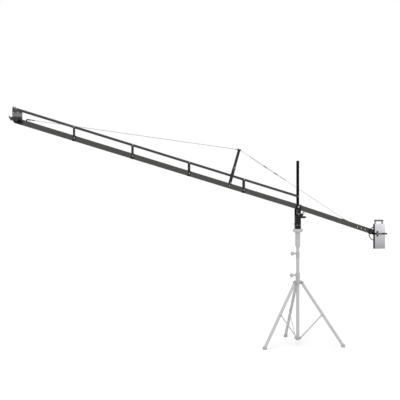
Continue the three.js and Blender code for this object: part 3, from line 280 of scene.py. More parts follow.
def wire_run(start, end, radius, sides):
    """A thin round bar between two points, closed at both ends."""
    start, end = np.array(start, float), np.array(end, float)
    along = (end - start) / np.linalg.norm(end - start)
    side = np.cross(along, (0, 0, 1.0) if abs(along[2]) < 0.9 else (1.0, 0, 0))
    side /= np.linalg.norm(side)
    other = np.cross(along, side)
    angle = np.linspace(0, 2 * np.pi, sides, endpoint=False)[:, None]
    circle = radius * (np.cos(angle) * side + np.sin(angle) * other)
    rings = np.stack([circle * 0 + start, circle + start, circle + end, circle * 0 + end])
    return skin(rings)


def hexagon(across_flats, low, high, at=(0, 0)):
    """A six-sided nut or bolt head with drawn-in ends."""
    return slab(ring_points(*at, across_flats / math.sqrt(3), 6), low, high, "Y", 0.8)


def both(make):
    """The same shape made for the near side and the far side."""
    return [make(-1), make(1)]


def span(side, inner, outer):
    """The lower and upper depth of a layer between two distances from the middle, on one side."""
    return (min(side * inner, side * outer), max(side * inner, side * outer))


def pin_pair(radius, inner, outer, sides, edge, at=(0, 0)):
    """A round bar on each side, between two distances from the middle."""
    return both(lambda s: pin(radius, *span(s, inner, outer), "Y", sides, edge, at))


def slab_pair(outline, inner, outer, edge):
    """A slab on each side, between two distances from the middle."""
    return both(lambda s: slab(outline, *span(s, inner, outer), "Y", edge))


def bolt_pair(x, z, across_flats=8.5, thick=2.4, washer=6.3, face=BAR_OUT):
    """A bolt head on each outer face, on a washer unless its radius is nought."""
    shapes = []
    for side in (-1, 1):
        if washer:
            shapes.append(pin(washer, *span(side, face - 0.2, face + 0.9), "Y", 24, 0.2, (x, z)))
        base = face + (0.7 if washer else -0.2)
        shapes.append(hexagon(across_flats, *span(side, base, face + thick), (x, z)))
    return shapes


def box_tube(x0, x1, half_y=HALF_Y, half_z=HALF_Z, wall=WALL, corner=2.5):
    """A box tube along X with rounded corners, open at both ends."""
    outer = rectangle(-half_y, half_y, -half_z, half_z, corner)
    in_y, in_z = half_y - wall, half_z - wall
    inner = rectangle(-in_y, in_y, -in_z, in_z, max(corner - wall, 0.4))
    return framed(outer, inner, x0, x1, "X", 0.3)


def plug(x0, x1):
    """The smaller box tube that slides into a boom tube."""
    return box_tube(x0, x1, *PLUG)


def hole(radius, x, z):
    """A plain round bar across the boom, used to cut a hole."""
    return pin(radius, -40, 40, "Y", 32, 0.01, (x, z))


def flattened(shape, where, floor):
    """Points below a floor height in the shared frame are lifted straight up to it."""
    world = shape[0] @ where[:3, :3].T + where[:3, 3]
    world[:, 2] = np.maximum(world[:, 2], floor)
    return (world - where[:3, 3]) @ where[:3, :3], shape[1]


# Pieces: meshes in metres, each told its body, its slot and the nodes that it takes the place of
def flat_list(shapes):
    """The shapes of a nested list in one plain list."""
    flat = []
    for item in shapes:
        if isinstance(item, list):
            flat.extend(flat_list(item))
        else:
            flat.append(item)
    return flat


def closed_mesh(name, shapes, where):
    """Shapes joined into one mesh in metres, with doubled points merged and faces turned outward."""
    points, faces, base = [], [], 0
    for got, quads in flat_list(shapes):
        points.append(np.asarray(got, float))
        faces.extend([[index + base for index in face] for face in quads])
        base += len(got)
    world = (np.concatenate(points) @ where[:3, :3].T + where[:3, 3]) * MM
    mesh = bpy.data.meshes.new(name)
    mesh.from_pydata(world.tolist(), [], faces)
    work = bmesh.new()
    work.from_mesh(mesh)
    bmesh.ops.remove_doubles(work, verts=work.verts, dist=MERGE)
    bmesh.ops.dissolve_degenerate(work, edges=work.edges, dist=MERGE / 2)
    bmesh.ops.recalc_face_normals(work, faces=work.faces)
    work.to_mesh(mesh)
    work.free()
    return mesh


def crease(mesh):
    """Shades every face round, and keeps an edge sharp where its two faces meet at a large angle."""
    work = bmesh.new()
    work.from_mesh(mesh)
    for face in work.faces:
        face.smooth = True
    for edge in work.edges:
        edge.smooth = edge.calc_face_angle(0.0) < SHARP
    work.to_mesh(mesh)
    work.free()


def placed(name, data):
    """A new object of the scene that shows a mesh, a lamp or a camera."""
    obj = bpy.data.objects.new(name, data)
    bpy.context.scene.collection.objects.link(obj)
    return obj


def piece(name, body, finish, where, shapes, replaces=()):
    """A finished piece of the object, riding on its body in place of the nodes it replaces."""
    material, slot = finish
    mesh = closed_mesh(name, shapes, where)
    crease(mesh)
    obj = placed(name, mesh)
    mesh.materials.append(material)
    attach(obj, body)
    if replaces:
        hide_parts(*replaces)
    return obj


def pierce(obj, where, shapes):
    """Cuts the shapes out of a finished piece and keeps the result as its mesh."""
    tool = placed("tool", closed_mesh("tool", shapes, where))
    cutter = obj.modifiers.new("holes", "BOOLEAN")
    cutter.operation = "DIFFERENCE"
    cutter.solver = "EXACT"
    cutter.use_self = True
    cutter.object = tool
    bpy.context.view_layer.update()
    seen = obj.evaluated_get(bpy.context.evaluated_depsgraph_get())
    cut_mesh = bpy.data.meshes.new_from_object(seen)
    obj.modifiers.clear()
    obj.data = cut_mesh
    bpy.data.objects.remove(tool)
    crease(cut_mesh)


# Finishes: each is a material and the slot that it fills
def new_node(tree, kind, values=None, operation=None):
    """A shader node with some of its inputs set, each told by name or number."""
    node = tree.nodes.new("ShaderNode" + kind)
    if operation:
        node.operation = operation
    for label, value in (values or {}).items():
        node.inputs[label].default_value = value
    return node


def finish_of(name, slot, colour, rough, metal, fleck, grain, bump, stretch=(1, 1, 1), wear=0.0, shine=0.5):
    """A colour that drifts with a large and a fine noise, a roughness that follows, and a raised grain."""
    material = bpy.data.materials.new(name)
    material.use_nodes = True
    tree = material.node_tree
    join = tree.links.new
    shader = tree.nodes["Principled BSDF"]
    shader.inputs["Metallic"].default_value = metal
    shader.inputs["Specular IOR Level"].default_value = shine
    place = new_node(tree, "TexCoord")
    mapping = new_node(tree, "Mapping", {"Scale": stretch})
    broad = new_node(tree, "TexNoise", {"Scale": 7.0, "Detail": 4.0})
    fine = new_node(tree, "TexNoise", {"Scale": grain, "Detail": 3.0})
    join(place.outputs["Object"], mapping.inputs["Vector"])
    join(mapping.outputs["Vector"], broad.inputs["Vector"])
    join(mapping.outputs["Vector"], fine.inputs["Vector"])
    share = new_node(tree, "Math", {1: 0.55}, "MULTIPLY")
    mixed = new_node(tree, "Math", {1: 0.45}, "MULTIPLY_ADD")
    join(broad.outputs["Fac"], share.inputs[0])
    join(fine.outputs["Fac"], mixed.inputs[0])
    join(share.outputs[0], mixed.inputs[2])
    ramp = new_node(tree, "ValToRGB")
    steps = ramp.color_ramp.elements
    for step, position, scale in ((steps[0], 0.32, 1 - fleck), (steps[1], 0.68, 1 + fleck)):
        step.position = position
        step.color = (*[min(1.0, c * scale) for c in colour], 1)
    if wear:
        steps.new(0.93).color = (*[min(1.0, c + wear) for c in colour], 1)
    join(mixed.outputs[0], ramp.inputs["Fac"])
    join(ramp.outputs["Color"], shader.inputs["Base Color"])
    smooth, coarse = max(0.05, rough - 0.07), min(1.0, rough + 0.07)
    gloss = new_node(tree, "MapRange", {"From Min": 0.3, "From Max": 0.7, "To Min": smooth, "To Max": coarse})
    join(mixed.outputs[0], gloss.inputs["Value"])
    join(gloss.outputs["Result"], shader.inputs["Roughness"])
    relief = new_node(tree, "Bump", {"Strength": bump, "Distance": 0.001})
    join(fine.outputs["Fac"], relief.inputs["Height"])
    join(relief.outputs["Normal"], shader.inputs["Normal"])
    return material, slot


def painted_light_along_z(finish, low, high, low_share, high_share):
    """Paints light and shade by height: scales a finish's colour along Z, from one share at the low height to
    the other at the high one.
    """
    tree = finish[0].node_tree
    join = tree.links.new
    colour = tree.nodes["Principled BSDF"].inputs["Base Color"]
    place = new_node(tree, "TexCoord")
    parts = new_node(tree, "SeparateXYZ")
    join(place.outputs["Object"], parts.inputs[0])
    ends = {"From Min": low, "From Max": high, "To Min": low_share, "To Max": high_share}
    reach = new_node(tree, "MapRange", ends)
    join(parts.outputs["Z"], reach.inputs["Value"])
    tint = new_node(tree, "VectorMath", operation="SCALE")
    join(colour.links[0].from_socket, tint.inputs[0])
    join(reach.outputs["Result"], tint.inputs["Scale"])
    join(tint.outputs[0], colour)


# Each is told its name, slot, colour, roughness, metal, fleck, grain and bump, then what is special
ALONG = (1, 6, 6)  # a grain drawn out along X
BOOM, BLACK, PAINT, PLASTIC = "boom_anodised", "black_anodised", "yoke_paint", "black_plastic"
BOLT, WIRE, WEIGHT = "bolt_steel", "stay_wire", "weight_steel"
boom_skin = finish_of(
    "boom_anodised_skin", BOOM, (0.078, 0.0755, 0.072), 0.42, 0.35, 0.10, 420, 0.05, ALONG, 0.02
)
rod_skin = finish_of(
    "rod_anodised_skin", BOOM, (0.052, 0.051, 0.049), 0.38, 0.30, 0.10, 420, 0.04, ALONG, 0.02
)
head_skin = finish_of("head_plate_skin", BOOM, (0.24, 0.228, 0.222), 0.45, 0.30, 0.4, 120, 0.12, wear=0.05)
black_skin = finish_of(
    "black_anodised_skin", BLACK, (0.006, 0.006, 0.0065), 0.46, 0.0, 0.25, 500, 0.06, shine=0.14
)
post_skin = finish_of(
    "post_anodised_skin", BLACK, (0.026, 0.0255, 0.025), 0.44, 0.1, 0.2, 500, 0.06, shine=0.3
)
tray_skin = finish_of("tray_dark_paint", BLACK, (0.034, 0.031, 0.030), 0.45, 0.1, 0.25, 400, 0.08, shine=0.3)
mast_paint = finish_of(
    "mast_black_paint", PAINT, (0.004, 0.004, 0.0042), 0.50, 0.0, 0.25, 700, 0.10, shine=0.06
)
yoke_paint = finish_of(
    "yoke_black_paint", PAINT, (0.011, 0.011, 0.011), 0.46, 0.0, 0.3, 650, 0.12, wear=0.01, shine=0.2
)
grip_plastic = finish_of(
    "black_moulded_plastic", PLASTIC, (0.010, 0.010, 0.011), 0.52, 0.0, 0.2, 900, 0.16, shine=0.35
)
grip_rubber = finish_of(
    "ring_grip_rubber", PLASTIC, (0.006, 0.006, 0.007), 0.62, 0.0, 0.2, 800, 0.25, shine=0.12
)
bright_bolt = finish_of("bright_bolt_steel", BOLT, (0.62, 0.62, 0.63), 0.25, 1.0, 0.08, 600, 0.04)
dark_bolt = finish_of("dark_bolt_steel", BOLT, (0.16, 0.16, 0.165), 0.35, 0.8, 0.12, 600, 0.05)
dark_rim = (dark_bolt[0], BOOM)
stay_wire = finish_of("stay_wire_steel", WIRE, (0.24, 0.24, 0.25), 0.34, 0.9, 0.2, 1500, 0.5, (1, 1, 3))
weight_metal = finish_of(
    "weight_brushed_steel", WEIGHT, (0.86, 0.86, 0.89), 0.42, 0.6, 0.05, 300, 0.05, (0.35, 5, 5)
)
handle_metal = finish_of("handle_dull_steel", WEIGHT, (0.50, 0.50, 0.52), 0.45, 0.5, 0.06, 300, 0.05)
stand_paint = finish_of("stand_pale_paint", "stand_paint", (0.56, 0.56, 0.57), 0.45, 0.0, 0.05, 500, 0.05)
stand_knob = finish_of("stand_grey_plastic", "stand_plastic", (0.50, 0.50, 0.51), 0.55, 0.0, 0.08, 900, 0.12)
foot_rubber = finish_of("foot_pale_rubber", "foot_rubber", (0.48, 0.48, 0.49), 0.7, 0.0, 0.10, 700, 0.2)
# Painted light: the weight plates carry a painted sheen at the top and painted shade toward the bottom
painted_light_along_z(weight_metal, 0.95, 1.19, 0.51, 1.0)
# Painted shade: the handle's top bar is darkened by height
painted_light_along_z(handle_metal, 1.218, 1.232, 1.0, 0.25)
# Painted light on the head plates: a painted highlight band in the middle, with painted shade below and above
# it
painted_light_along_z(head_skin, 2.234, 2.253, 0.30, 1.0)
painted_light_along_z(head_skin, 2.270, 2.292, 1.0, 0.22)


# Boom sections and the rear arm
def section(name, x0, x1):
    return piece(name + "_skin", "boom", boom_skin, ON_BOOM, [box_tube(x0, x1)], [name])


pierce(section("boom_section_1", JOINTS[0] + PARTING, 40), ON_BOOM, [hole(5.3, 0, 0)])
piece("boom_pivot_screw", "boom", black_skin, ON_BOOM, [pin(6, 25.8, 31.8, "Z", 28, 1.2, (28, 0))])
for number in (2, 3, 4):
    section(f"boom_section_{number}", JOINTS[number - 1] + PARTING, JOINTS[number - 2] - PARTING)
section("boom_section_5", NOSE_START + 0.3, JOINTS[3] - PARTING)
arm = piece("rear_arm_skin", "boom", boom_skin, ON_ARM, [box_tube(40.9, ARM_END)], ["rear_arm"])
pierce(arm, ON_ARM, [hole(radius, x, 0) for x, radius in ARM_HOLES])
hole_rims = []
for x, radius in ARM_HOLES:
    hole_rims.append(both(lambda s: torus(radius + 0.3, 0.5, (x, HALF_Y * s, 0), 48, 8)))
piece("arm_hole_rims", "boom", dark_rim, ON_ARM, hole_rims)

# Joint blocks: a collar with eased edges, a plug into the tube at each end and four screws a side
sleeve_outer, sleeve_inner = rectangle(-15.5, 15.5, -27.5, 27.5, 3), rectangle(-14.2, 14.2, -26.2, 26.2, 2.2)
for number, x in enumerate(JOINTS, 1):
    name = f"joint_collar_{number}"
    sleeve = framed(sleeve_outer, sleeve_inner, x - 14.5, x + 14.5, "X", 0.8)
    web = slab(rectangle(-14.4, 14.4, -26.4, 26.4, 2), x - 8, x + 8, "X", 0.2)
    shapes = [sleeve, web, plug(x - 45, x - 7), plug(x + 7, x + 45)]
    block = piece(name, "boom", black_skin, ON_BOOM, shapes, [f"joint_block_{number}"])
    pierce(block, ON_BOOM, [hole(4.4, x, 0)])
    places = [(x + dx, z) for z in (19, -19) for dx in (-9.5, 9.5)]
    screws = [pin_pair(2.4, 15.3, 16.3, 20, 0.3, place) for place in places]
    piece(name + "_screws", "boom", dark_bolt, ON_BOOM, screws)

# Front end block with its round nose
nose_round = arc(HEAD_X, 0, HALF_Z, np.linspace(np.pi / 2, 3 * np.pi / 2, 33))
nose_outline = np.concatenate([[(NOSE_START, -HALF_Z), (NOSE_START, HALF_Z)], nose_round])
nose_shapes = [slab(nose_outline, -HALF_Y, HALF_Y, "Y", 1.2), plug(NOSE_START - 0.5, -2864)]
nose = piece("boom_nose", "boom", black_skin, ON_BOOM, nose_shapes, ["boom_end_block"])
pierce(nose, ON_BOOM, [hole(4.8, HEAD_X, 0)])
nose_screws = [pin_pair(3.2, 13.8, 15.0, 20, 0.4, (-2920, z)) for z in (15, -15)]
piece("boom_nose_screws", "boom", bright_bolt, ON_BOOM, nose_screws)

# Levelling rod: a round tube with a cross hole at every pivot and a pressed cap at each end
rod_profile = [(10.5, -2988), (11.9, -2989), (12.5, -2988.2), (12.5, 13.2), (11.9, 14), (10.5, 13)]
rod_tube = [lathe(rod_profile, "X", 40, True)]
rod = piece("levelling_rod_skin", "levelling_rod", rod_skin, ON_ROD, rod_tube, ["parallel_rod"])
pierce(rod, ON_ROD, [hole(4.4, x, 0) for x in (0, HEAD_X, *JOINTS)])
rod_caps = [pin(10.45, -2988.6, -2980, "X", 32, 0.6), pin(10.45, 5, 13.6, "X", 32, 0.6)]
piece("rod_end_caps", "levelling_rod", grip_plastic, ON_ROD, rod_caps)

# Upright links: two flat bars, spacers on the upper pin and bright bolts on washers
for number, x in enumerate(JOINTS, 1):
    name, here = f"link_{number}", upright(ON_BOOM, x, 0)
    bars = slab_pair(capsule(0, 0, 0, RISE, 9), BAR_IN, BAR_OUT, 0.5)
    piece(name + "_bars", name + "_body", post_skin, here, bars, [f"link_pair_{number}"])
    pins = [pin(4, -20, 20, "Y", 20, 0.3, (0, z)) for z in (0, RISE)]
    spacers = pin_pair(7, 12.8, 16, 24, 0.4, (0, RISE))
    heads = bolt_pair(0, 0) + bolt_pair(0, RISE)
    piece(name + "_bolts", name + "_body", bright_bolt, here, [pins, spacers, heads])

# Mast: two flat bars with a cap above and a cross block below
round_side = arc(0, 0, 12, np.linspace(-0.75, 0.75, 9))
mast_outline = np.concatenate(
    [
        [(-8.5, -70.5), (8.5, -70.5), (8.5, -8.8)],
        round_side,
        [(8.5, 8.8), (8.5, 475), (5.5, 479), (-5.5, 479), (-8.5, 475), (-8.5, 8.8)],
        -round_side,
        [(-8.5, -8.8)],
    ]
)
mast_bars = slab_pair(mast_outline, BAR_IN, BAR_OUT, 0.6)
mast_cap = slab(rectangle(-5.2, 5.2, 449, 478.4, 1), -16.2, 16.2, "Y", 0.2)
mast_block = slab(rectangle(-20, 20, -90, -70, 1.2), -21.9, 21.9, "Y", 0.6)
piece("mast_bars", "yoke", mast_paint, AT_PIVOT, [mast_bars, mast_cap, mast_block], ["mast"])
mast_screws = [bolt_pair(0, z, 5.5, 2.0, 0) for z in (457, 470)]
piece("mast_cap_screws", "yoke", yoke_paint, AT_PIVOT, mast_screws)

# Pivot bolts
pivot_bolt = [
    pin(5, -31, 31, "Y", 28, 0.6),
    pin(10, -31.6, -26.7, "Y", 40, 1.4),
    pin(3.2, -32.0, -31.2, "Y", 6, 0.2),
    pin(10, 26.6, 27.6, "Y", 32, 0.2),
    hexagon(15, 27.4, 31.6),
    pin_pair(8, 20.1, 21.9, 28, 0.2),
    pin_pair(8, 14.3, 15.9, 28, 0.2),
]
piece("boom_pivot_bolt_head", "yoke", bright_bolt, AT_PIVOT, pivot_bolt, ["boom_pivot_bolt"])
rod_bolt = [
    pin(4, -23.5, 23.5, "Y", 24, 0.5, (0, RISE)),
    bolt_pair(0, RISE, 10, 3.8, 6.4, BAR_OUT + 0.2),
    pin_pair(7, 12.8, 15.9, 24, 0.3, (0, RISE)),
]
piece("rod_pivot_bolt_head", "yoke", bright_bolt, AT_PIVOT, rod_bolt, ["rod_pivot_bolt"])

# Yoke: base block and two plates with round tops
base_outline = rectangle(-YOKE_HALF, YOKE_HALF, -PLATE_IN, PLATE_IN, 1.5)
base_shapes = [slab(base_outline, 1152.3, 1291, "Z", 1.2)]
base = piece("yoke_block", "yoke", yoke_paint, HERE, base_shapes, ["yoke_base"])
spindle_bore = pin(12.8, 1140, 1283.3, "Z", 48, 0.01)
pierce(base, HERE, [spindle_bore, pin(4.3, 0, 40, "X", 20, 0.01, (0, PAN_LOCK_Z))])
pierce(base, HERE, [pin(3.3, -40, 0, "X", 20, 0.01, (0, SAFETY_Z))])
plate_foot = [(-YOKE_HALF, -227.0), (-25.0, -228.7), (25.0, -228.7), (YOKE_HALF, -227.0)]
plate_outline = np.concatenate([plate_foot, arc(0, 0, YOKE_HALF, np.linspace(0, np.pi, 33))])
spacer_bar = pin(3, -22.5, 21.9, "Y", 20, 0.3, (0, -80))
near_plate = [slab(plate_outline, -YOKE_HALF, -PLATE_IN, "Y", 0.9), spacer_bar]
near = piece("yoke_plate_near_skin", "yoke", yoke_paint, AT_PIVOT, near_plate, ["yoke_plate_near"])
pierce(near, AT_PIVOT, [hole(5.3, 0, 0)])
lock_ear = slab(capsule(*TILT_LOCK, 22, -121, 10.5), 22.1, 26.4, "Y", 0.9)
far_plate = [slab(plate_outline, PLATE_IN, YOKE_HALF, "Y", 0.9), lock_ear]
far = piece("yoke_plate_far_skin", "yoke", yoke_paint, AT_PIVOT, far_plate, ["yoke_plate_far"])
pierce(far, AT_PIVOT, [hole(5.3, 0, 0), hole(4.3, *TILT_LOCK)])
plate_bolts = []
for x, z, radius in ((-17, -39, 4.2), (-17, -61, 4.2), (0, -80, 5.0), (-16, -190, 5.0), (16, -190, 5.0)):
    plate_bolts.append(pin(radius, -28.8, -26.3, "Y", 28, 0.7, (x, z)))
    plate_bolts.append(pin(radius * 0.45, -29.0, -28.4, "Y", 6, 0.1, (x, z)))
piece("yoke_plate_bolts", "yoke", bright_bolt, AT_PIVOT, plate_bolts)
scale = slab(arc_band(0, -52, 23, 21, 200, 340, 29), -26.9, -26.3, "Y", 0.1)
piece("tilt_scale_arc", "yoke", bright_bolt, AT_PIVOT, [scale])

# Locks of the yoke
at_pan_lock = shift(0, 0, PAN_LOCK_Z)
pan_profile = [(0, 12.8), (4, 12.8), (4, 26.8), (9.5, 26.8), (11, 28.5), (11, 34), (9.8, 36), (9.8, 38)]
pan_profile += [(11, 40), (11, 76), (9.6, 82), (7.4, 88), (4.6, 92), (0, 93)]
pan_grip = [lathe(pan_profile, "X", 48)]
piece("pan_lock_grip", "pan_lock", grip_plastic, at_pan_lock, pan_grip, ["pan_lock_knob"])
pan_ribs = [wire_run((42, y, z), (75, y, z), 0.7, 8) for y, z in ring_points(0, 0, 10.7, 18)]
piece("pan_lock_ribs", "pan_lock", grip_plastic, at_pan_lock, pan_ribs)
safety_profile = [(0, -12.8), (3, -12.8), (3, -26.8), (6.2, -26.8)]
safety_profile += [(7, -27.6), (7, -33.7), (6.2, -34.5), (0, -34.5)]
safety = [lathe(safety_profile, "X", 28), torus(9, 1.5, (-43.5, 0, 0), 40, 10)]
piece("safety_pin_ring", "safety_lock", dark_bolt, shift(0, 0, SAFETY_Z), safety, ["safety_pin"])
at_tilt_lock = AT_PIVOT @ shift(TILT_LOCK[0], 0, TILT_LOCK[1])
tilt_knob = [
    pin(4, 22, 31, "Y", 20, 0.3),
    lobed(12, 30.5, 50.4, 6, 1.6, "Y", 2.5),
    pin(6, 50, 53.3, "Y", 28, 1.2),
]
piece("tilt_lock_grip", "tilt_lock", grip_plastic, at_tilt_lock, tilt_knob, ["tilt_lock_knob"])

# Tilt quadrant: a curved strip with a long slot, on a foot at the arm's far side
strip, slot = arc_band(0, 0, 110, 90, 0, -83, 60), arc_band(0, 0, 106.7, 97.7, -5, -78, 60)
quadrant = [
    framed(strip, slot, 27.1, 30.1, "Y", 0.2),
    slab(rectangle(107.2, 146, -9, 9, 2), 27.3, 29.9, "Y", 0.4),
    slab(rectangle(120, 146, -9, 9, 1.5), 14.3, 27.4, "Y", 0.4),
]
piece("tilt_quadrant_strip", "boom", yoke_paint, ON_ARM, quadrant, ["tilt_quadrant"])

# King post: a fork over boom and rod, a box tube and the saddle that holds the stays
fork_pins = ((4, 0), (5, 32), (4, 164), (4, 188))
king_fork = [
    slab_pair(capsule(KING_X, 0, KING_X, 188.5, 11.5), BAR_IN, BAR_OUT, 0.5),
    [pin(radius, -19.6, 19.6, "Y", 20, 0.3, (KING_X, z)) for radius, z in fork_pins],
]
piece("king_fork_plates", "boom", post_skin, ON_BOOM, king_fork, ["king_fork"])
fork_bolts = [bolt_pair(KING_X, z) for z in (0, 32, 188)] + [bolt_pair(KING_X, 164, 5.5, 1.6, 0)]
piece("king_fork_bolts", "boom", bright_bolt, ON_BOOM, fork_bolts)
post_outer = rectangle(KING_X - 11, KING_X + 11, -15.5, 15.5, 2.5)
post_inner = rectangle(KING_X - 9, KING_X + 9, -13.5, 13.5, 1.0)
post_tube = framed(post_outer, post_inner, 150, 372.4, "Z", 0.3)
post = piece("king_tube_skin", "boom", post_skin, ON_BOOM, [post_tube], ["king_tube"])
pierce(post, ON_BOOM, [hole(4.3, KING_X, 164), hole(4.3, KING_X, 188)])
cheek_ends = (KING_X - 16.5, KING_X + 16.5)
saddle = [
    slab(rectangle(KING_X - 11, KING_X + 11, -15.4, 15.4, 2.5), 372, 374, "Z", 0.3),
    slab_pair(rectangle(*cheek_ends, 374, 391, 2.5), 3.5, 8, 0.5),
    slab(rectangle(*cheek_ends, -3.6, 3.6, 0.4), 373.6, 376, "Z", 0.2),
]
piece("king_saddle", "boom", black_skin, ON_BOOM, saddle)
saddle_pin = [pin(2.3, -19.5, 19.5, "Y", 20, 0.3, STAY_PIN), pin_pair(4, 17, 20, 24, 0.6, STAY_PIN)]
piece("king_saddle_pin", "boom", bright_bolt, ON_BOOM, saddle_pin)

# Front anchor and the pair of front stays
anchor = [
    slab(rounded([(-2886, 26.3), (-2874, 26.3), (-2876, 44), (-2884, 44)], 1.5), -10, 10, "Y", 0.5),
    slab(rectangle(-2887, -2873, -13, 13, 2), 26.3, 28.5, "Z", 0.3),
]
piece("front_anchor_block", "boom", black_skin, ON_BOOM, anchor, ["front_anchor"])
anchor_bar = [pin(2.3, -35.5, 35.5, "Y", 20, 0.3, ANCHOR), pin_pair(4, 33, 36, 24, 0.6, ANCHOR)]
piece("front_anchor_bar", "boom", bright_bolt, ON_BOOM, anchor_bar)


def eye(at):
    """A wire eye round a stay's pin."""
    return torus(3.9, 1.2, at, 28, 10)


def stay_line(side):
    """The two ends of a front stay, and the unit vector from the front one to the other."""
    front = np.array([ANCHOR[0], side * 30.0, ANCHOR[1]])
    back = np.array([STAY_PIN[0], side * 12.0, STAY_PIN[1]])
    return front, back, (back - front) / np.linalg.norm(back - front)


def front_stay(side):
    """A straight wire rope with an eye at each end and a pressed sleeve at the king post."""
    front, back, along = stay_line(side)
    return [
        eye(front),
        eye(back),
        wire_run(front + along * 3.9, back - along * 3.9, 1.0, 10),
        wire_run(back - along * 42, back - along * 5.1, 2.4, 16),
    ]


def front_sleeve(side):
    """The dark pressed sleeve at the front end of a stay, with a second short one behind it."""
    front, _, along = stay_line(side)
    sleeves = ((5.1, 42, 3.1), (50, 74, 2.4))
    return [wire_run(front + along * a, front + along * b, radius, 16) for a, b, radius in sleeves]


piece("front_stay_near_rope", "boom", stay_wire, ON_BOOM, front_stay(-1), ["front_stay_near"])
piece("front_stay_far_rope", "boom", stay_wire, ON_BOOM, front_stay(1), ["front_stay_far"])
piece("front_stay_sleeves", "boom", black_skin, ON_BOOM, both(front_sleeve))


# Rear stay with its turnbuckle: places along X from the king post
def eyelet(x0, x1):
    """A flattened wire loop between two places along the stay."""
    outer, inner = (capsule(x0 + 5, 0, x1 - 5, 0, radius) for radius in (5, 2.6))
    return framed(outer, inner, -1.2, 1.2, "Y", 0.4)


def thread(x0, x1):
    """A screw thread drawn as rings: the radius rises and falls with a cosine along the axis."""
    radius, pitch = 2.5, 2.5
    places = np.linspace(x0, x1, int((x1 - x0) / pitch * 6))
    reach = radius - 0.25 + 0.25 * np.cos(2 * np.pi * places / pitch)
    return lathe([(0, x0), *zip(reach, places), (0, x1)], "X", 16)


upper = [
    eye((0, 0, 0)),
    pin(1.4, 3.9, 196, "X", 10, 0.1),
    eyelet(195.5, 247),
    eyelet(245.8, 283.5),
    thread(282, 351),
]
piece("rear_stay_upper_rope", "boom", stay_wire, ON_STAY, upper, ["rear_stay_upper"])
lower = [
    thread(438, 498),
    eyelet(496.8, 528),
    eyelet(526.8, 547.5),
    pin(1.4, 547, STAY_LONG - 3.9, "X", 10, 0.1),
    pin(2.4, STAY_LONG - 34, STAY_LONG - 12, "X", 20, 0.8),
    eye((STAY_LONG, 0, 0)),
]
piece("rear_stay_lower_rope", "boom", stay_wire, ON_STAY, lower, ["rear_stay_lower"])
sleeves = [pin(2.5, 130, 196, "X", 20, 0.8), pin(2.5, 547, 598, "X", 20, 0.8)]
piece("rear_stay_sleeves", "boom", black_skin, ON_STAY, sleeves)
nut_outer, nut_inner = ring_points(0, 0, 4.95, 6), ring_points(0, 0, 2.85, 6)
buckle = [
    [pin(1.5, 312, 477, "X", 16, 0.3, (0, z)) for z in (-4.5, 4.5)],
    [framed(nut_outer, nut_inner, x, x + 16, "X", 0.6) for x in (306, 467)],
]
piece("turnbuckle_frame", "turnbuckle_body", stay_wire, ON_STAY, buckle, ["turnbuckle"])
rear_anchor = [
    slab(rectangle(508, 578, -9, 9, 3), 26.3, 29.3, "Z", 0.4),
    slab_pair(rounded([(530, 27), (542, 27), (541, 35.5), (531, 35.5)], 2), 1.7, 6, 0.3),
]
piece("rear_anchor_plate", "boom", black_skin, ON_ARM, rear_anchor, ["rear_anchor"])
anchor_screws = [
    pin(2.3, -6.5, 6.5, "Y", 16, 0.3, REAR_ANCHOR),
    [pin(3.6, 29.2, 31.4, "Z", 24, 0.7, (x, 0)) for x in (517, 556, 569)],
]
piece("rear_anchor_screws", "boom", bright_bolt, ON_ARM, anchor_screws)

# Camera head: finned plates, tray and screw
fin_corners = [(-34, 98), (-34, 12), (-14, 4), (-9, -9), (9, -9), (13, 2), (22, 10), (60, 10), (60, 99)]
fin_corners += [(4, 114), (-4, 129), (-9, 129.4), (-16, 117), (-24, 135.2), (-27.5, 135.5), (-33.5, 117)]
head_plates = slab_pair(rounded(fin_corners, 3.5), BAR_IN, BAR_OUT, 0.6)
plates = piece("head_plate_pair", "camera_head", head_skin, AT_HEAD, head_plates, ["head_bracket"])
pierce(plates, AT_HEAD, [hole(3.0, 48, 84), hole(3.0, 48, 26)])
head_pins = [
    pin(4.5, -19.6, 19.6, "Y", 24, 0.3),
    pin(4, -19.6, 19.6, "Y", 24, 0.3, (0, RISE)),
    [pin(4.5, -16.5, 16.5, "Y", 24, 0.3, place) for place in HEAD_BARS],
    [pin_pair(6.5, 19.8, 21.6, 28, 0.6, place) for place in HEAD_BARS],
    pin_pair(8, 14.3, 16.3, 28, 0.3),
    pin_pair(7, 12.8, 16.3, 28, 0.3, (0, RISE)),
    bolt_pair(0, RISE),
]
piece("head_plate_pins", "camera_head", bright_bolt, AT_HEAD, head_pins)
piece("head_pivot_caps", "camera_head", dark_bolt, AT_HEAD, pin_pair(6, 19.6, 21.0, 28, 0.5))
rib = arc_band(0, 0, 33, 30, 10, 170, 33) * np.array([0.72, 1.0]) + np.array([33, 42])
piece("head_plate_rib", "camera_head", dark_rim, AT_HEAD, slab_pair(rib, 19.8, 20.6, 0.2))
tray_corners = [(-34, -20), (-34, 20), (50, 20), (50, 48), (-50, 48), (-50, -48), (50, -48), (50, -20)]
tray_lip = np.array([(-67.8, 41.6), (-49.5, 4.6), (-49.5, 27.5), (-66.6, 42)])
tray_shapes = [slab(rounded(tray_corners, 2.5), 4, 28, "Z", 0.9), slab(tray_lip, -48, 48, "Y", 0.2)]
tray = piece("camera_tray_skin", "camera_head", tray_skin, AT_HEAD, tray_shapes, ["camera_tray"])
pierce(tray, AT_HEAD, [pin(3.5, 0, 34, "Z", 24, 0.01, (SCREW_X, 0))])
pads = both(lambda s: slab(rectangle(-24, 44, *span(s, 25, 43), 3), 27.8, 28.3, "Z", 0.1))
piece("tray_pads", "camera_head", grip_rubber, AT_HEAD, pads)
at_screw = AT_HEAD @ shift(SCREW_X, 0, 0)
screw = [lobed(9, -2.3, 3.7, 10, 0.6, "Z", 1.2), pin(3.175, 3.2, 35, "Z", 24, 0.6)]
piece("camera_screw_knob", "camera_screw_body", bright_bolt, at_screw, screw, ["camera_screw"])


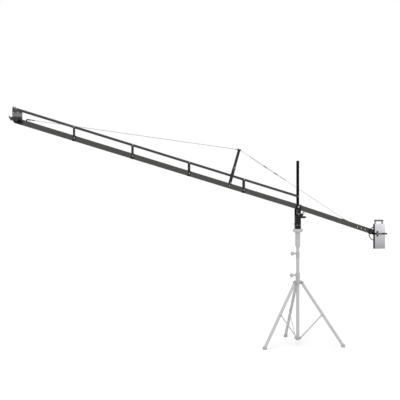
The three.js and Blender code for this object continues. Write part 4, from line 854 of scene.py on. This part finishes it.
# Counterweight: axle block, hand ring, plates with a handle, and the clamp lever
def axle_ring(radius, low, high, edge):
    """A flat ring round the weight axle."""
    return framed(ring_points(0, 0, radius, 48), ring_points(0, 0, BORE, 48), low, high, "Y", edge)


axle_block = [slab(rectangle(-HALF_Y, HALF_Y, -HALF_Z, HALF_Z, 2.5), 885.3, 929, "X", 1.2), plug(863, 886)]
piece("axle_block_skin", "boom", black_skin, ON_ARM, axle_block, ["axle_block"])
piece("axle_bar", "boom", bright_bolt, AT_AXLE, [pin(8, -78.6, -10, "Y", 32, 1.0)])
hand_ring = [torus(73, 4.75, (0, RING_Y, 0), 96, 20, 0.5, 32)]
piece("hand_ring_grip", "boom", grip_rubber, AT_AXLE, hand_ring, ["hand_ring"])
spokes = [
    slab(capsule(-71, 0, -12, 0, 6), RING_Y - 2.8, RING_Y + 2.8, "Y", 0.8),
    slab(capsule(12, 0, 71, 0, 6), RING_Y - 2.8, RING_Y + 2.8, "Y", 0.8),
    axle_ring(15, RING_Y - 4.7, RING_Y + 4.7, 0.8),
]
piece("hand_ring_spokes", "boom", yoke_paint, AT_AXLE, spokes)
plate_edge = rectangle(-28, 89, -158.5, 103.5, 3)
slot_end = arc(0, 0, BORE, np.linspace(np.pi / 2, -np.pi / 2, 17))
stack_outline = np.concatenate([plate_edge, [(-28, BORE)], slot_end, [(-28, -BORE)]])
layers = [slab(stack_outline, low, low + 2.5, "Y", 0.6) for low in (-67.7, -27.2)]
piece("weight_plates", "weights", weight_metal, AT_AXLE, layers, ["weight_stack"])
# Painted shade: dark core layers between the two bright face plates darken the sides of the stack
core_starts = [-65.1 + 12.64 * step for step in range(3)]
core_layers = [slab(stack_outline, low, low + 12.5, "Y", 0.7) for low in core_starts]
piece("weight_core_painted_shade", "weights", black_skin, AT_AXLE, core_layers)
handle_outer, handle_inner = rectangle(-22, 74, 100.5, 147.3, 7, 5), rectangle(-8, 60, 103.5, 130.5, 6, 5)
handle = framed(handle_outer, handle_inner, -58, -34.4, "Y", 2.2)
piece("weight_handle", "weights", handle_metal, AT_AXLE, [handle])
tie_bolts = [pin(5.5, -67.95, -66.0, "Y", 28, 0.2, (x, z)) for z in (80, -134) for x in (2, 66)]
piece("weight_tie_bolts", "weights", weight_metal, AT_AXLE, tie_bolts)
lever = [
    axle_ring(13, *LEVER, 1.0),
    [slab(capsule(0, 14 * s, 0, 24 * s, 6), -78.6, -73.4, "Y", 1.4) for s in (-1, 1)],
    slab(capsule(14, 0, 100, 0, 5), -78.5, -73.6, "Y", 1.2),
    slab(capsule(62, 0, 104, 0, 8), *LEVER, "Y", 3.4),
]
piece("clamp_lever_skin", "weight_clamp", grip_plastic, AT_AXLE, lever, ["clamp_lever"])
piece("clamp_lever_cap", "weight_clamp", bright_bolt, AT_AXLE, [pin(6.5, -80.2, -78.4, "Y", 28, 0.9)])

# Stand: the slopes and lengths of leg and brace, and a frame for each with X along it
leg_run, leg_drop = FOOT_REACH - LEG_PIVOT[0], LEG_PIVOT[1] - FLOOR
LEAN = math.atan2(leg_run, leg_drop)
LEG_LONG = math.hypot(leg_run, leg_drop)
brace_run = LEG_PIVOT[0] + JOIN_REACH * math.sin(LEAN) - HUB_PIVOT[0]
brace_rise = LEG_PIVOT[1] - JOIN_REACH * math.cos(LEAN) - HUB_PIVOT[1]
BRACE_LONG = math.hypot(brace_run, brace_rise)
BRACE_SLOPE = math.atan2(brace_rise, brace_run)
leg_end, brace_end = shift(LEG_PIVOT[0], 0, LEG_PIVOT[1]), shift(HUB_PIVOT[0], 0, HUB_PIVOT[1])
LEG_FRAMES = [turn(a, "Z") @ leg_end @ turn(math.pi / 2 - LEAN, "Y") for a in LEG_TURNS]
BRACE_FRAMES = [turn(a, "Z") @ brace_end @ turn(-BRACE_SLOPE, "Y") for a in LEG_TURNS]

# Bottom hub, column tube and the telescope clamp
hub = [lathe([(0, 0), (20.5, 0), (22, 1.5), (22, 42), (20, 44), (16.6, 44), (16.6, 40), (0, 40)], "Z", 56)]
piece("hub_shell", "column", stand_knob, HERE, hub, ["column_hub"])
hub_lug = slab(round_lug([(15, 13), (15, 31)], HUB_PIVOT, 9), -15.3, 15.3, "Y", 1.0)
for number, angle in enumerate(LEG_TURNS, 1):
    piece(f"hub_lug_{number}", "column", stand_knob, turn(angle, "Z"), [hub_lug])
column = [lathe([(15.3, 8.3), (16.5, 8.3), (16.5, 856.5), (15.8, 857), (15.3, 856.5)], "Z", 48, True)]
piece("column_tube_skin", "column", stand_paint, HERE, column, ["column_tube"])
clamp_profile = [(16.6, 851.2), (18, 851.2), (19, 852.6), (19, 878), (18.3, 879.2), (18.3, 884.5)]
clamp_profile += [(19, 885.7), (19, 911.4), (17.8, 912.8), (15.6, 912.8)]
clamp = [lathe(clamp_profile, "Z", 56, True)]
piece("telescope_clamp_collar", "column", stand_knob, HERE, clamp, ["telescope_clamp"])
clamp_boss = [pin(9.8, -25.8, -15.8, "X", 40, 1.0, (0, CLAMP_KNOB_Z))]
piece("telescope_clamp_boss", "column", stand_knob, HERE, clamp_boss)


def ball_knob(name, ride, middle, boss, tip, z, replaces):
    """A round hand knob, its profile a half circle with a fine groove, on a neck and a stud."""
    here = shift(0, 0, z)
    bend = np.linspace(0, np.pi, 41)
    reach = 20.9 - 0.5 * np.exp(-(((bend - 1.9) / 0.05) ** 2))
    radii = reach * np.sin(bend)
    radii[[0, -1]] = 0.0
    ball = lathe(np.stack([radii, middle - reach * np.cos(bend)], 1), "X", 48)
    neck = pin(7, middle + 12, boss, "X", 32, 0.8)
    piece(name, ride, stand_knob, here, [ball, neck], [replaces])
    piece(name + "_stud", ride, dark_bolt, here, [pin(4, boss - 2, tip, "X", 20, 0.3)])


ball_knob("telescope_knob_head", "telescope_knob_body", -56, -26.3, -15.4, CLAMP_KNOB_Z, "telescope_knob")

# Riser: inner tube, sleeve, cone, flange and spindle
riser = [lathe([(13, 422), (15, 422), (15, 1038), (13, 1038)], "Z", 48, True)]
piece("riser_tube_skin", "riser", stand_paint, HERE, riser, ["riser_tube"])
adapter_profile = [(15.1, 957.2), (16.4, 957.2), (17, 958.5), (18.5, 962), (24.6, 974.5), (26, 978)]
adapter_profile += [(26, 1040), (25.2, 1041.5), (25.2, 1044), (26, 1045.5), (26, 1112), (27.5, 1115.6)]
adapter_profile += [(48.8, 1123.7), (50.5, 1127), (50.5, 1149), (47.6, 1151.9), (12.4, 1151.9)]
adapter_profile += [(12.4, 1281.5), (11, 1283), (0, 1283)]
piece("head_adapter_skin", "riser", stand_paint, HERE, [lathe(adapter_profile, "Z", 72)], ["head_adapter"])
adapter_screws = [pin(3, -27.4, -24.5, "X", 24, 0.6, (0, z)) for z in (995, 1026)]
piece("adapter_screws", "riser", stand_knob, HERE, adapter_screws)

# Sliding leg collar with its lugs and knob
collar_profile = [(16.9, 578.2), (21, 578.2), (22.5, 580.5), (22.5, 618), (21.6, 619.5), (21.6, 647)]
collar_profile += [(22.5, 648.5), (22.5, 694.5), (20.5, 696.8), (16.9, 696.8)]
collar = [lathe(collar_profile, "Z", 56, True)]
piece("leg_collar_shell", "leg_slider", stand_knob, HERE, collar, ["leg_collar"])
collar_boss = [pin(8.8, -31.8, -17.5, "X", 36, 0.8, (0, COLLAR_KNOB_Z))]
piece("leg_collar_boss", "leg_slider", stand_knob, HERE, collar_boss)
collar_lugs = slab_pair(round_lug([(19.5, 583.2), (19.5, 619.4)], LEG_PIVOT, 17.8), 9.1, 13.9, 0.8)
for number, angle in enumerate(LEG_TURNS, 1):
    piece(f"collar_lug_{number}", "leg_slider", stand_knob, turn(angle, "Z"), collar_lugs)
ball_knob("leg_collar_knob_head", "leg_collar_knob_body", -66, -32.3, -16.9, COLLAR_KNOB_Z, "leg_collar_knob")

# Legs, feet and braces; the foot's profile is told as (radius, distance back from the leg's end)
foot_profile = [(15.1, 34), (17.4, 33.8), (19.2, 31.5), (20.2, 25), (20.4, 18), (20.0, 9), (18.4, 5)]
foot_profile += [(15, 1.6), (12, 0.2), (0, 0.2), (0, 20), (15.1, 20)]
foot_profile = [(radius, LEG_LONG - back) for radius, back in foot_profile]
for number, (leg_at, brace_at) in enumerate(zip(LEG_FRAMES, BRACE_FRAMES), 1):
    name, ride = f"leg_{number}", f"leg_{number}_body"
    tube = [lathe([(13, 26.5), (15, 26.5), (15, LEG_LONG - 15.2), (13, LEG_LONG - 15.2)], "X", 40, True)]
    piece(name + "_tube", ride, stand_paint, leg_at, tube, [name])
    tongue = [slab(capsule(0, 0, 56, 0, 8.8), -8.3, 8.3, "Y", 0.9), pin(13.1, 26.6, 44, "X", 36, 0.8)]
    piece(name + "_tongue", ride, stand_knob, leg_at, tongue)
    pins = [pin(4, -16.5, 16.5, "Y", 20, 0.3), pin_pair(7, 14.2, 17.2, 32, 1.0)]
    piece(name + "_pin", ride, dark_bolt, leg_at, pins)
    foot = flattened(lathe(foot_profile, "X", 48, True), leg_at, FLOOR)
    piece(f"foot_{number}_pad", ride, foot_rubber, leg_at, [foot], [f"foot_{number}"])
    name, ride = f"brace_{number}", f"brace_{number}_body"
    flat = slab(capsule(0, 0, BRACE_LONG, 0, 6.5), BAR_IN, 18.5, "Y", 0.5)
    piece(name + "_flats", ride, stand_paint, brace_at, [flat], [name])
    pins = [
        pin(3.5, -18.0, 18.4, "Y", 20, 0.3),
        pin(5.4, -18.4, -15.9, "Y", 28, 0.5),
        pin(3.5, 15.35, 18.4, "Y", 20, 0.3, (BRACE_LONG, 0)),
        [pin(5.2, 18.3, 18.5, "Y", 28, 0.05, (x, 0)) for x in (0, BRACE_LONG)],
    ]
    piece(name + "_pins", ride, dark_bolt, brace_at, pins)

# Floor: a wide pale square that glows a little to the camera alone
REACH = 60.0
WHITE = (1.0, 1.0, 1.0, 1.0)
corners = [(-REACH, -REACH), (REACH, -REACH), (REACH, REACH), (-REACH, REACH)]
ground_mesh = bpy.data.meshes.new("studio_floor")
ground_mesh.from_pydata([(x, y, FLOOR * MM) for x, y in corners], [], [(0, 1, 2, 3)])
ground = placed("studio_floor", ground_mesh)
floor_finish = bpy.data.materials.new("studio_floor")
floor_finish.use_nodes = True
tree = floor_finish.node_tree
shader = tree.nodes["Principled BSDF"]
shader.inputs["Base Color"].default_value = (0.80, 0.80, 0.80, 1.0)
shader.inputs["Roughness"].default_value = 0.95
shader.inputs["Specular IOR Level"].default_value = 0.1
shader.inputs["Emission Color"].default_value = WHITE
ray = new_node(tree, "LightPath")
glow = new_node(tree, "Math", {1: 0.24}, "MULTIPLY")
tree.links.new(ray.outputs["Is Camera Ray"], glow.inputs[0])
tree.links.new(glow.outputs[0], shader.inputs["Emission Strength"])
ground_mesh.materials.append(floor_finish)

# World: an even light, seen as plain white
world = bpy.data.worlds.new("studio")
world.use_nodes = True
bpy.context.scene.world = world
tree = world.node_tree
backdrop = tree.nodes["Background"]
backdrop.inputs["Color"].default_value = WHITE
backdrop.inputs["Strength"].default_value = 0.50
seen_white = new_node(tree, "Background", {"Color": WHITE, "Strength": 1.0})
ray = new_node(tree, "LightPath")
blend = new_node(tree, "MixShader")
either = new_node(tree, "Math", operation="MAXIMUM")
tree.links.new(ray.outputs["Is Camera Ray"], either.inputs[0])
tree.links.new(ray.outputs["Is Transmission Ray"], either.inputs[1])
tree.links.new(either.outputs[0], blend.inputs[0])
tree.links.new(backdrop.outputs[0], blend.inputs[1])
tree.links.new(seen_white.outputs[0], blend.inputs[2])
tree.links.new(blend.outputs[0], tree.nodes["World Output"].inputs["Surface"])


def soft_sun(name, place, spread, strength):
    """A wide sun that shines from its place toward the origin, so the whole boom is lit evenly."""
    lamp = bpy.data.lights.new(name, "SUN")
    lamp.angle = math.radians(spread)
    lamp.energy = strength
    aim = (-Vector(place)).to_track_quat("-Z", "Y").to_matrix().to_4x4()
    placed(name, lamp).matrix_world = Matrix.Translation(place) @ aim


soft_sun("key_sun", (-3.5, -5.5, 7.0), 40, 1.1)
soft_sun("fill_sun", (6.0, -5.0, 4.0), 60, 0.5)
soft_sun("top_sun", (0.5, 2.5, 7.5), 50, 0.6)

view = bpy.data.cameras.new("main_camera")
view.lens = 75.1
view.sensor_width = 36.0
camera = placed("main_camera", view)
camera.location = (-3.079, -8.157, 1.452)
camera.rotation_euler = (math.radians(90), 0, math.radians(-14))
bpy.context.scene.camera = camera
bpy.context.scene.view_settings.view_transform = "Standard"
